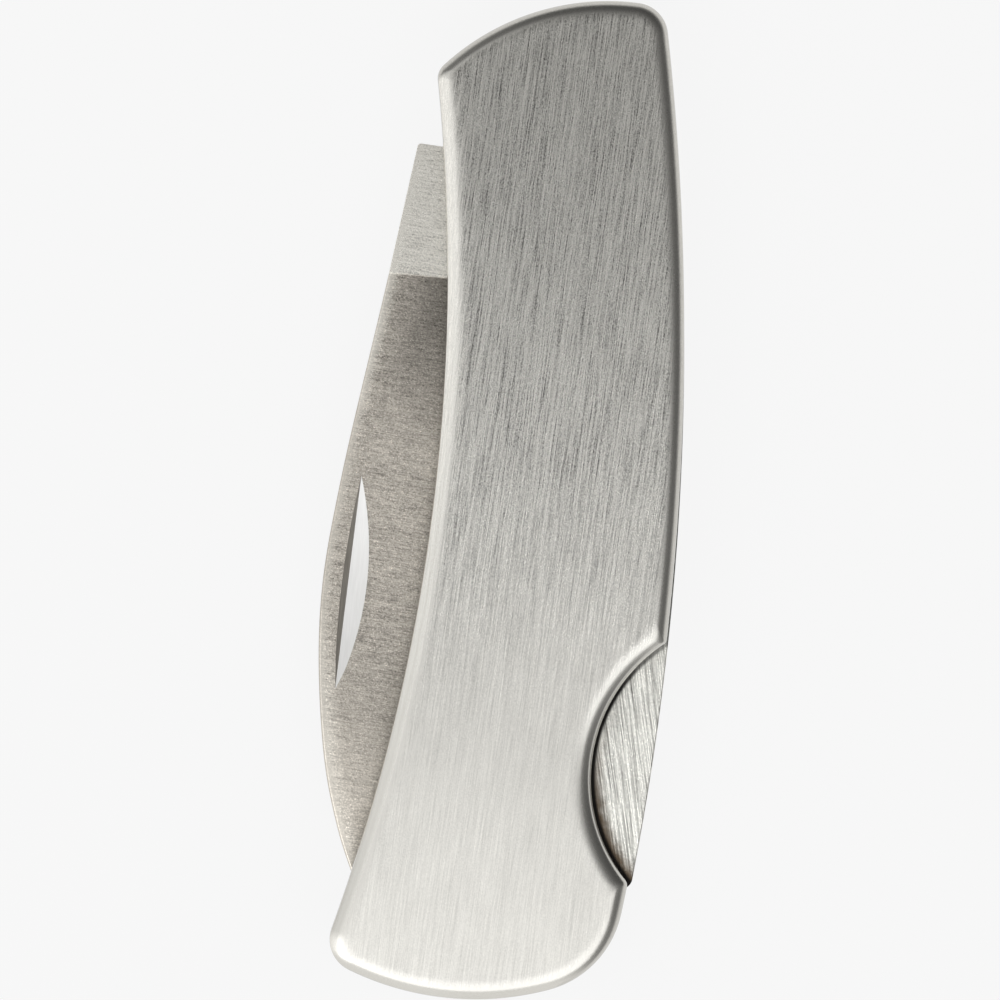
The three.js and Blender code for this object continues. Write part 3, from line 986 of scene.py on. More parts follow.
@dataclass(frozen=True)
class LockFinish(SteelFinish):
    """Coarsely ground lock steel, with a painted black shadow line under the thumb cut-out's edge and a band
    of painted brown shade beside its rear half. A reach is a range along the bar, and a radius one from the
    middle of the cut-out's circle."""

    middle: Triple = (51.06, 21.18, 0.0)
    # Painted shade: a brown band that darkens the bar towards the cut-out's wall, most at its rear.
    shade_band_radius: Point = (11.53, 12.73)
    shade_band_reach: Point = (46.06, 55.06)
    shade_band_least: float = 0.1
    ragged_size: float = 1.4
    ragged_depth: float = 0.9
    # Painted shadow: a near-black line on the bar along the cut-out's edge, where the cover's wall shades it.
    line_radius: Point = (12.53, 12.83)
    line_reach: Point = (40.06, 45.06)
    line_least: float = 0.6
    brown_shade: Triple = (0.13, 0.098, 0.068)
    shadow_black: Triple = (0.012, 0.011, 0.01)

    def stain_and_painted_shade(self, bench: NodeBench, colour: Socket, place: Socket) -> Socket:
        """Paints brown shade and a black shadow line on the steel next to the cut-out's edge."""
        x = bench.axis(place, 0)
        radius = bench.vector("DISTANCE", bench.vector("MULTIPLY", place, (1.0, 1.0, 0.0)), self.middle)
        inputs = {"Vector": place, "Scale": self.ragged_size, "Detail": 3.0}
        wander = bench.minus(bench.add("ShaderNodeTexNoise", inputs).outputs[0], 0.5)
        ragged = bench.plus(radius, bench.times(wander, self.ragged_depth))
        # Painted brown shade, with a ragged inner edge.
        band = bench.ramp(ragged, self.shade_band_radius, (0.0, 1.0))
        band = bench.times(band, bench.ramp(x, self.shade_band_reach, (self.shade_band_least, 1.0)), clamp=True)
        # Painted shadow line along the cut-out's edge.
        line = bench.ramp(radius, self.line_radius, (0.0, 1.0))
        line = bench.times(line, bench.ramp(x, self.line_reach, (self.line_least, 1.0)))
        return bench.mix(line, bench.mix(band, colour, (*self.brown_shade, 1.0)), (*self.shadow_black, 1.0))


COVER_STEEL = CoverFinish(
    name="brushed cover steel",
    colour=(0.568, 0.553, 0.514),
    roughness=0.3,
    anisotropy=0.35,
    grains=(
        Grain(-1.5, 6.0, 0.11, 0.44, 0.042),
        Grain(-1.0, 16.0, 0.7, 0.12, 0.02),
        Grain(-4.0, 3.2, 0.06, 0.8, 0.03),
        Grain(30.0, 0.09, 0.07, 0.9, 0.006),
    ),
    rim_polish=0.85,
    rim_lift=0.05,
    unevenness=0.1,
)
BLADE_STEEL = BladeFinish(
    name="satin blade steel",
    colour=(0.66, 0.636, 0.579),
    roughness=0.36,
    anisotropy=0.4,
    grains=(
        Grain(85.0, 1.6, 0.08, 0.38, 0.035),
        Grain(83.0, 5.0, 0.25, 0.12, 0.02),
        Grain(60.0, 0.14, 0.1, 0.5, 0.025),
    ),
    mottling=0.05,
    mottling_size=4.0,
    flecks=0.7,
    rim_lift=0.1,
)
MARK_STEEL = SteelFinish(
    name="struck nail mark steel",
    colour=(0.63, 0.623, 0.607),
    roughness=0.42,
    grains=(Grain(0.0, 3.0, 0.1, 0.05, 0.01),),
)
# Painted shade: the nail mark's steep wall gets a darker steel, for the shade that falls in it.
SHADED_WALL_STEEL = SteelFinish(
    name="nail mark wall with painted shade",
    colour=(0.4, 0.378, 0.345),
    roughness=0.42,
    grains=(Grain(0.0, 3.0, 0.1, 0.2, 0.01),),
)
LOCK_STEEL = LockFinish(
    name="ground lock steel",
    colour=(0.585, 0.576, 0.533),
    roughness=0.36,
    anisotropy=0.3,
    grains=(
        Grain(11.5, 6.0, 0.12, 0.5, 0.12),
        Grain(13.0, 3.0, 0.06, 0.6, 0.09),
        Grain(60.0, 0.16, 0.1, 0.25, 0.05),
    ),
    mottling=0.05,
    mottling_size=3.0,
    flecks=0.3,
)
FRAME_STEEL = SteelFinish(
    name="rolled frame steel",
    colour=(0.68, 0.67, 0.65),
    roughness=0.38,
    grains=(Grain(0.0, 4.0, 0.1, 0.12, 0.03),),
    mottling=0.05,
)
SPRING_STEEL = SteelFinish(
    name="tempered spring steel",
    colour=(0.42, 0.41, 0.4),
    roughness=0.42,
    grains=(Grain(0.0, 3.0, 0.12, 0.15, 0.04),),
    mottling=0.12,
    mottling_size=5.0,
)
BRONZE = SteelFinish(
    name="rolled bronze",
    colour=(0.68, 0.47, 0.26),
    roughness=0.36,
    grains=(Grain(30.0, 3.0, 0.1, 0.12, 0.03),),
    mottling=0.08,
    mottling_size=3.0,
)


class Slot(Enum):
    """The record's material slots with the finish that each one has here."""

    COVER = ("cover_steel", COVER_STEEL)
    BLADE = ("blade_steel", BLADE_STEEL)
    LOCK = ("lock_steel", LOCK_STEEL)
    FRAME = ("frame_steel", FRAME_STEEL)
    MARK = ("blade_steel", MARK_STEEL)
    WALL = ("blade_steel", SHADED_WALL_STEEL)
    SPRING = ("spring_steel", SPRING_STEEL)
    BRONZE = ("bronze", BRONZE)


class Paintbox:
    """Builds each finish's material once."""

    def __init__(self) -> None:
        """Builds the shader groups and starts with no material."""
        self.groups = FinishGroups()
        self.made: dict[Slot, bpy.types.Material] = {}

    def material(self, slot: Slot) -> bpy.types.Material:
        """The material of a slot."""
        if slot not in self.made:
            self.made[slot] = slot.value[1].material(self.groups)
        return self.made[slot]


@dataclass
class Assembly:
    """Dresses finished meshes and puts them on their bodies."""

    paint: Paintbox

    def mount(
        self, mesh: Mesh, slot: Slot, body: Body | None, replaces: Sequence[str] = ()
    ) -> bpy.types.Object:
        """Makes a mesh a piece of the knife.

        Args:
            mesh: The finished mesh, in place.
            slot: Its material slot.
            body: The body that it rides on, or None to leave it on no body, as for the leaf spring, which
                bends between two bodies.
            replaces: The CAD nodes that it stands for, by default the one with its own name.

        Returns:
            The piece.
        """
        name = mesh.name.partition(".")[0]
        nodes = tuple(replaces) or (name,)
        piece = placed(f"{name}_dressed", mesh)
        if not mesh.materials:
            mesh.materials.append(self.paint.material(slot))
        if body is not None:
            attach(piece, body.value)
        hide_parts(*nodes)
        LOG.info("%s: %d faces, stands for %s", piece.name, len(mesh.polygons), ", ".join(nodes))
        return piece


@dataclass
class Fasteners:
    """Pins, rivets and studs, with the places of their bores."""

    shape: HandleShape
    stack: Stack
    pivot_radius: float = 1.6
    rocker: Point = (29.0, 10.3)
    rocker_radius: float = 1.1
    rivet_radius: float = 1.1
    spine_rivet_from_butt: float = 6.7
    spine_rivet_depth: float = 2.5
    belly_rivet_from_butt: float = 2.2
    belly_rivet_drop: float = 3.8
    stud_radius: float = 1.0
    stud_depth: float = 1.1
    stud_places: tuple[Point, ...] = ((10.0, 3.0), (31.0, 2.0), (54.0, -2.0))
    fit_gap: float = 0.04
    chamfer: float = 0.12
    sides: int = 40

    @property
    def rivets(self) -> list[Point]:
        """The places of the two butt rivets."""
        reach = self.shape.butt_reach - self.spine_rivet_from_butt
        rise = self.shape.spine.height_at(reach) - self.spine_rivet_depth
        return [(reach, rise), (self.shape.butt_reach - self.belly_rivet_from_butt, -self.belly_rivet_drop)]

    def rivet_bores(self) -> list[Bore]:
        """The holes for the butt rivets."""
        return [Bore(x, y, self.rivet_radius + self.fit_gap) for x, y in self.rivets]

    def pin_bores(self) -> list[Bore]:
        """The holes for every pin in a liner."""
        pivot = Bore(0.0, 0.0, self.pivot_radius + self.fit_gap)
        rocker = Bore(*self.rocker, self.rocker_radius + self.fit_gap)
        return [pivot, rocker, *self.rivet_bores()]

    def stud_bores(self, depth: float | None) -> list[Bore]:
        """The holes for the studs, blind if they have a depth."""
        return [Bore(x, y, self.stud_radius + self.fit_gap, depth) for x, y in self.stud_places]

    def build_tree(self) -> Tree:
        """Geometry Nodes that stand a turned pin, chamfered at both ends, on each point of a mesh."""
        sizes = floats("Radius", "Length", "Chamfer")
        inputs = {"Geometry": "Geometry", **sizes, "Sides": "Int", "Material": "Material"}
        bench = node_group("turned pins", "Geometry", inputs, {"Geometry": "Geometry"})
        radius, length, chamfer = (bench.given[key] for key in sizes)
        small = bench.minus(radius, chamfer)
        shank = bench.minus(length, bench.times(chamfer, 2.0))
        inputs = {"Vertices": bench.given["Sides"], "Radius": small}
        disc = bench.add("GeometryNodeMeshCircle", inputs, fill_type="NGON").outputs[0]
        body, top = disc, {}
        steps = ((chamfer, (radius, small)), (shank, None), (chamfer, (small, radius)))
        for height, growth in steps:
            extruded = bench.add("GeometryNodeExtrudeMesh", {"Mesh": body, "Offset Scale": height, **top})
            body, top = extruded.outputs["Mesh"], {"Selection": extruded.outputs["Top"]}
            if growth is not None:
                inputs = {"Geometry": body, "Scale": bench.math("DIVIDE", *growth), **top}
                body = bench.add("GeometryNodeScaleElements", inputs).outputs[0]
        joined = bench.add("GeometryNodeJoinGeometry")
        for piece in (bench.add("GeometryNodeFlipFaces", {"Mesh": disc}).outputs[0], body):
            bench.fill(joined, {0: piece})
        inputs = {"Geometry": joined.outputs[0], "Distance": 1e-6}
        closed = bench.add("GeometryNodeMergeByDistance", inputs).outputs[0]
        drop = bench.add("ShaderNodeCombineXYZ", {2: bench.times(length, -0.5)}).outputs[0]
        centred = bench.add("GeometryNodeTransform", {"Geometry": closed, "Translation": drop}).outputs[0]
        inputs = {"Points": bench.given["Geometry"], "Instance": centred}
        return bench.give_solid(bench.add("GeometryNodeInstanceOnPoints", inputs).outputs[0])

    def turn(
        self, name: str, places: Sequence[Point], radius: float, heights: Point, tree: Tree,
        material: bpy.types.Material,
    ) -> Mesh:
        """Makes a set of equal pins.

        Args:
            name: The mesh's name.
            places: The pins' places.
            radius: Their radius.
            heights: The heights of their lower and upper ends over the middle plane.
            tree: The Geometry Nodes tree of the pins.
            material: Their material.

        Returns:
            The pins as one mesh.
        """
        middle = self.stack.cover_face + sum(heights) / 2
        values = {
            "Radius": radius * MM,
            "Length": (max(heights) - min(heights)) * MM,
            "Chamfer": self.chamfer * MM,
            "Sides": self.sides,
            "Material": material,
        }
        return grown(name, [(x * MM, y * MM, middle * MM) for x, y in places], tree, values)

    def build(self, assembly: Assembly) -> None:
        """Makes the pins and studs and mounts them."""
        tree = self.build_tree()
        steel = assembly.paint.material(Slot.FRAME)
        through = (-self.stack.liner_face, self.stack.liner_face)
        spine_rivet, belly_rivet = self.rivets
        pins = (
            ("pivot_pin", (0.0, 0.0), self.pivot_radius),
            ("rocker_pin", self.rocker, self.rocker_radius),
            ("spine_butt_rivet", spine_rivet, self.rivet_radius),
            ("belly_butt_rivet", belly_rivet, self.rivet_radius),
        )
        for name, place, radius in pins:
            mesh = self.turn(name, [place], radius, through, tree, steel)
            assembly.mount(mesh, Slot.FRAME, Body.HANDLE)
        for face in Face:
            low, high = self.stack.gap_half, self.stack.liner_face + self.stud_depth
            heights = (face.value * low, face.value * high)
            name = f"{face.prefix}_studs"
            mesh = self.turn(name, self.stud_places, self.stud_radius, heights, tree, steel)
            nodes = [f"{face.prefix}_stud_{i + 1}" for i in range(len(self.stud_places))]
            assembly.mount(mesh, Slot.FRAME, Body.HANDLE, nodes)


@dataclass
class Handle:
    """The covers, the liners, the butt spacer and the washers."""

    shape: HandleShape
    stack: Stack
    workshop: Workshop
    fasteners: Fasteners
    cover_rim: Rim = Rim(0.85, 1.3)
    inner_rim: Rim = Rim(0.08, 0.06)
    cover_rim_steps: int = 10
    liner_inset: float = 0.15
    liner_rim: Rim = Rim(0.06, 0.04)
    spacer_inset: float = 0.1
    washer_radius: float = 4.2
    washer_rim: Rim = Rim(0.03, 0.02)
    washer_sides: int = 64
    bar_end_cover: float = 0.6
    bar_end_gap: float = 0.45
    spring_thickness: float = 0.9
    spring_seat: float = 5.2
    spring_rise: float = 4.7
    slot_lip: float = 1.5
    spacer_foot: float = 66.3
    foot_rise: float = -2.87

    @property
    def spacer_front(self) -> float:
        """The reach of the spacer's front face."""
        return self.shape.bar_rear(self.bar_end_cover) + self.bar_end_gap

    def cover(self, face: Face) -> Mesh:
        """A cover with a rounded edge and blind holes for its studs."""
        return Workshop(self.stack, self.cover_rim_steps).plate(
            f"{face.prefix}_cover",
            self.shape.cover_outline,
            (self.stack.liner_face, self.stack.cover_face),
            (self.inner_rim, self.cover_rim),
            self.fasteners.stud_bores(self.fasteners.stud_depth + self.fasteners.fit_gap),
            face,
        )

    def liner(self, face: Face) -> Mesh:
        """A liner with the holes for its pins and studs."""
        return self.workshop.plate(
            f"{face.prefix}_liner",
            lambda distance: self.shape.outline(self.liner_inset + distance),
            (self.stack.gap_half, self.stack.liner_face),
            (self.liner_rim, self.liner_rim),
            [*self.fasteners.pin_bores(), *self.fasteners.stud_bores(None)],
            face,
        )

    def washer(self, face: Face) -> Mesh:
        """A thin washer on the pivot pin."""
        circle = Bore(0.0, 0.0, self.washer_radius, steps=self.washer_sides).circle(0.0)
        return self.workshop.plate(
            f"{face.prefix}_washer",
            drawn_in([point[:2] for point in circle]),
            (self.stack.gap_half - self.stack.washer, self.stack.gap_half),
            (self.washer_rim, self.washer_rim),
            [Bore(0.0, 0.0, self.fasteners.pivot_radius + self.fasteners.fit_gap)],
            face,
        )

    def spacer(self) -> Mesh:
        """The butt spacer, with the slot that holds the spring's root."""
        slot = self.spring_thickness / 2 + self.fasteners.fit_gap
        front, end = self.spacer_front, self.spacer_front + self.spring_seat
        around = self.shape.outline(self.spacer_inset)
        first = next(i for i, p in enumerate(around) if p[0] > self.spacer_foot)
        last = next(i for i in range(first, len(around)) if around[i][0] < front and around[i][1] > 0)
        spine = Arc(self.shape.spine.x, self.shape.spine.y, self.shape.spine_radius - self.spacer_inset)
        points = [
            *around[first:last],
            (front, spine.height_at(front)),
            (front, self.spring_rise + slot),
            (end, self.spring_rise + slot),
            (end, self.spring_rise - slot),
            (front, self.spring_rise - slot),
            (front, self.spring_rise - slot - self.slot_lip),
            (self.spacer_foot, self.foot_rise),
        ]
        half = self.stack.gap_half
        rim = self.liner_rim
        return self.workshop.plate(
            "butt_spacer", drawn_in(points), (-half, half), (rim, rim), self.fasteners.rivet_bores()
        )

    def build(self, assembly: Assembly) -> None:
        """Makes the pieces of the handle and mounts them."""
        for face in Face:
            assembly.mount(self.cover(face), Slot.COVER, Body.HANDLE)
            assembly.mount(self.liner(face), Slot.FRAME, Body.HANDLE)
            assembly.mount(self.washer(face), Slot.BRONZE, Body.HANDLE)
        assembly.mount(self.spacer(), Slot.FRAME, Body.HANDLE)


@dataclass
class Blade:
    """The blade: tang and ricasso at full thickness, then the ground part with its nail mark."""

    stack: Stack
    workshop: Workshop
    reach: float = 64.8
    tip_drop: float = 8.6
    crown_reach: float = 40.4
    crown_drop: float = 14.62
    shoulder_span: float = 10.3
    front_shoulder_fall: float = 0.73
    rear_shoulder_fall: float = 1.04
    swage_from_tip: float = 6.7
    swage_drop: float = 11.62
    notch_reach: float = 2.54
    back_drop: float = 10.03
    wall_lean: float = 3.4
    notch_rounding: float = 0.3
    plunge_reach: float = 13.1
    plunge_drop: float = 11.46
    heel_rise: float = 1.6
    choil_reach: float = 10.6
    kick_reach: float = 7.2
    kick_width: float = 1.2
    kick_valley: float = 1.6
    tang_end_angle: float = 62.0
    edge_straight: float = 30.0
    edge_fall: float = 1.75
    belly_sweep: float = 11.5
    belly_rise: float = 8.0
    edge_land: float = 0.8
    edge_shoulder: float = 0.25
    edge_half: float = 0.03
    back_rounding: float = 0.18
    tang_rim: Rim = Rim(0.015, 0.01)
    ground_back: float = 0.95
    ground_back_at_tip: float = 0.45
    open_angle: float = 172.0
    tang_radius: float = 6.5
    hook_drop: float = 0.7
    hook_gap: float = 0.1
    hook_length: float = 2.4
    drop_clearance: float = 0.1
    pivot_bore: float = 1.64
    mark_length: float = 17.6
    mark_width: float = 1.5
    mark_wall: float = 0.5
    mark_depth: float = 0.3
    mark_reach: float = 38.3
    mark_from_back: float = 2.05
    mark_turn: float = -2.0
    mark_sections: int = 60
    mark_clearance: float = 0.4
    face_steps: int = 10
    face_curve: float = 1.4
    stations: int = 110
    tip_crowding: float = 1.3
    tip_cut: float = 0.06
    root_overlap: float = 0.4
    root_sink: float = 0.03
    mark_end: float = 1e-4
    mark_wall_slope: float = -0.1
    back_steps: int = 40
    edge_steps: int = 240
    bore_steps: int = 48
    crease: float = 12.0

    @property
    def bar_underside(self) -> float:
        """The height at which the lock bar's underside lies."""
        return self.tang_radius + self.hook_drop + self.drop_clearance

    @property
    def wall_outer(self) -> Point:
        """The outer corner of the notch."""
        return self.notch_reach, -self.back_drop

    def wall_at(self, radius: float) -> Point:
        """The point of the notch wall at a distance from the pivot."""
        dx, dy = turned((0.0, 1.0), -self.wall_lean)
        x, y = self.wall_outer
        dot = x * dx + y * dy
        travel = -dot - math.sqrt(dot**2 - (x * x + y * y) + radius**2)
        return x + dx * travel, y + dy * travel

    def hook_front(self) -> tuple[Point, Point]:
        """The top and the lower end of the hook's front face."""
        top = turned(self.wall_outer, -self.open_angle)
        low = turned(self.wall_at(self.tang_radius + self.hook_gap), -self.open_angle)
        return (top[0] + self.hook_gap, top[1]), (low[0] + self.hook_gap, low[1])

    def tang_points(self) -> list[Point]:
        """The outline of the tang and the ricasso."""
        radius = self.tang_radius
        floor = radius - self.hook_drop - self.drop_clearance
        hook_low = self.hook_front()[1]
        tooth = hook_low[0] + self.hook_length + 2 * self.hook_gap + self.drop_clearance
        seat = radius - self.hook_drop - self.drop_clearance / 2
        hook_middle = hook_low[0] + self.hook_length / 2
        facing = 90 + math.degrees(math.asin(-hook_middle / (radius + self.hook_gap)))
        seat_half = math.degrees(math.acos(seat / radius))
        kick_top = self.bar_underside - self.hook_drop - self.drop_clearance
        wall_foot = self.wall_at(floor)

        def on(size: float, degrees: float) -> Point:
            """The point at an angle on a circle round the pivot."""
            return size * math.cos(math.radians(degrees)), size * math.sin(math.radians(degrees))

        tooth_angle = math.degrees(math.acos(tooth / radius)) + self.open_angle
        tooth_foot = math.degrees(math.acos(tooth / floor)) + self.open_angle
        kick_front = (self.kick_reach - self.kick_width / 2, kick_top)
        kick_rear = (self.kick_reach + self.kick_width / 2, kick_top)
        seat_front = on(radius, facing + seat_half)
        tang_end = on(radius, self.tang_end_angle)
        valley = (self.kick_reach - 2 * self.kick_width, kick_top - self.kick_valley)
        plunge = (self.plunge_reach, -self.plunge_drop)
        x, y = self.wall_outer
        slope = (y + self.plunge_drop) / (x - self.plunge_reach)
        rounding = self.notch_rounding
        after = (x + rounding, y + slope * rounding)
        wall = self.wall_at(math.hypot(x, y) - rounding)
        return [
            *bend(after, (x, y), wall, 6),
            wall,
            *Arc(0, 0, floor).points(wall_foot, on(floor, tooth_foot), 40, clockwise=True),
            on(floor, tooth_foot),
            *Arc(0, 0, radius).points(on(radius, tooth_angle), seat_front, 50, clockwise=True),
            seat_front,
            *Arc(0, 0, radius).points(on(radius, facing - seat_half), tang_end, 8, clockwise=True),
            *bend(tang_end, valley, kick_front, 12),
            kick_front,
            *bend(kick_rear, (self.kick_reach + self.kick_width, self.heel_rise),
                  (self.choil_reach, self.heel_rise), 12),
            (self.choil_reach, self.heel_rise),
            (self.plunge_reach, self.heel_rise),
            plunge,
        ]

    def back_line(self) -> list[Point]:
        """Points along the blade's back: a smooth curve through its measured places."""
        places = [
            (self.notch_reach, -self.back_drop),
            (self.plunge_reach, -self.plunge_drop),
            (self.crown_reach - self.shoulder_span, self.front_shoulder_fall - self.crown_drop),
            (self.crown_reach, -self.crown_drop),
            (self.crown_reach + self.shoulder_span, self.rear_shoulder_fall - self.crown_drop),
            (self.reach - self.swage_from_tip, -self.swage_drop),
            (self.reach, -self.tip_drop),
        ]
        found = []
        for i in range(len(places) - 1):
            p0, p1, p2 = places[max(i - 1, 0)], places[i], places[i + 1]
            p3 = places[min(i + 2, len(places) - 1)]
            for k in range(self.back_steps):
                t = k / self.back_steps
                found.append(tuple(
                    (2 * (b - c) + (c - a) / 2 + (d - b) / 2) * t**3
                    + (-3 * (b - c) - (c - a) - (d - b) / 2) * t**2
                    + (c - a) / 2 * t
                    + b
                    for a, b, c, d in zip(p0, p1, p2, p3)
                ))
        return [*found, places[-1]]

    def edge_line(self) -> list[Point]:
        """Points along the cutting edge."""
        places = [
            (self.plunge_reach, self.heel_rise),
            (self.plunge_reach + self.edge_straight, self.heel_rise - self.edge_fall),
            (self.reach - self.belly_sweep, self.belly_rise - self.tip_drop),
            (self.reach, -self.tip_drop),
        ]
        found = []
        for i in range(self.edge_steps + 1):
            t = i / self.edge_steps
            weights = ((1 - t) ** 3, 3 * t * (1 - t) ** 2, 3 * t * t * (1 - t), t**3)
            found.append(tuple(sum(w * p[k] for w, p in zip(weights, places)) for k in (0, 1)))
        return found

    @staticmethod
    def height_at(points: Sequence[Point], x: float) -> float:
        """The height of a line at x."""
        i = max(1, next((i for i, p in enumerate(points) if p[0] >= x), len(points) - 1))
        (ax, ay), (bx, by) = points[i - 1], points[i]
        return ay + (by - ay) * (x - ax) / (bx - ax)

    def half_thickness(self, x: float) -> float:
        """Half the blade's thickness at its back."""
        share = max((x - self.plunge_reach) / (self.reach - self.plunge_reach), 0.0)
        return self.ground_back + (self.ground_back_at_tip - self.ground_back) * share**2

    def section(self, x: float, back_points: Sequence[Point], edge_points: Sequence[Point]) -> list[tuple]:
        """A cross-section of the ground part, with a rounded back and an edge bevel."""
        back = self.height_at(back_points, x)
        edge = self.height_at(edge_points, max(x, self.plunge_reach))
        height = edge - back
        land = min(self.edge_land, height / 3)
        half = self.half_thickness(x)
        rounding = min(self.back_rounding, height / 5)
        shoulder = min(self.edge_shoulder, half / 2)
        upper = [
            (back + rounding * (1 - math.cos(a)), half - rounding * (1 - math.sin(a)))
            for a in (math.pi / 2 * i / 4 for i in range(5))
        ]
        start = upper[-1][0]
        for i in range(1, self.face_steps + 1):
            share = i / self.face_steps
            drop = (shoulder - half) * share**self.face_curve
            upper.append((start + (edge - land - start) * share, half + drop))
        upper.append((edge, self.edge_half))
        lower = [(y, -z) for y, z in reversed(upper)]
        return [(x, y, z) for y, z in (*upper, *lower)]

    def ground_part(self) -> Mesh:
        """The ground part, from just inside the ricasso to the tip."""
        first, last = self.plunge_reach - self.root_overlap, self.reach - self.tip_cut
        back, edge = self.back_line(), self.edge_line()
        rings = []
        for i in range(self.stations + 1):
            share = 1 - (1 - i / self.stations) ** self.tip_crowding
            rings.append(self.section(first + (last - first) * share, back, edge))
        inside = [(x, y + self.root_sink, z) for x, y, z in rings[0]]
        return self.workshop.loft("ground part", [inside, *rings[1:]], self.crease)

    def nail_mark(self) -> Mesh:
        """The cutter of the nail mark: a short wall on the back's side and a long slanted floor."""
        above = self.mark_clearance
        back = self.height_at(self.back_line(), self.mark_reach)
        half = self.half_thickness(self.mark_reach)
        edge = self.height_at(self.edge_line(), self.mark_reach)
        drop = (half - self.edge_shoulder) / (edge - back - self.edge_land)
        rings = []
        for i in range(self.mark_sections + 1):
            share = 2 * i / self.mark_sections - 1
            size = max(1 - share**2, self.mark_end)
            x = share * self.mark_length / 2
            rings.append([
                (x, -self.mark_wall * size, above),
                (x, -self.mark_wall * size, 0.0),
                (x, 0.0, -self.mark_depth * size),
                (x, self.mark_width * size, 0.0),
                (x, self.mark_width * size, above),
            ])
        mesh = self.workshop.loft("nail mark", rings)
        for face in mesh.polygons:
            # The steep faces on the back's side take the wall's material, with its painted shade.
            face.material_index = int(max(face.normal.y, face.normal.z) < self.mark_wall_slope)
        level = Matrix.Translation((0, 0, -self.workshop.middle * MM))
        turn = Matrix.Rotation(math.radians(self.mark_turn), 4, "Z")
        turn @= Matrix.Rotation(-math.atan(drop), 4, "X")
        place = Vector((self.mark_reach, back + self.mark_from_back, half - drop * self.mark_from_back))
        place.z += self.workshop.middle
        mesh.transform(Matrix.Translation(place * MM) @ turn @ level)
        return mesh

    def bore(self) -> Mesh:
        """The cutter of the pivot bore."""
        half = self.stack.blade
        bore = Bore(0.0, 0.0, self.pivot_bore, steps=self.bore_steps)
        return self.workshop.loft("pivot bore", [bore.circle(z) for z in (-half, half)])

    def build(self, assembly: Assembly) -> None:
        """Makes the blade and mounts it."""
        half = self.stack.blade / 2
        rims = (self.tang_rim, self.tang_rim)
        tang = self.workshop.plate("tang", drawn_in(self.tang_points()), (-half, half), rims)
        ground, bore, mark = self.ground_part(), self.bore(), self.nail_mark()
        for mesh in (tang, ground, bore):
            mesh.materials.append(assembly.paint.material(Slot.BLADE))
        for slot in (Slot.MARK, Slot.WALL):
            mark.materials.append(assembly.paint.material(slot))
        steps = [("UNION", ground), ("DIFFERENCE", bore), ("DIFFERENCE", mark)]
        mesh = carved("blade", tang, steps, self.crease)
        back = self.back_line()
        reaches = [vert.co.y / MM - self.height_at(back, vert.co.x / MM) for vert in mesh.vertices]
        mesh.attributes.new(FROM_BACK, "FLOAT", "POINT").data.foreach_set("value", reaches)
        assembly.mount(mesh, Slot.BLADE, Body.BLADE)


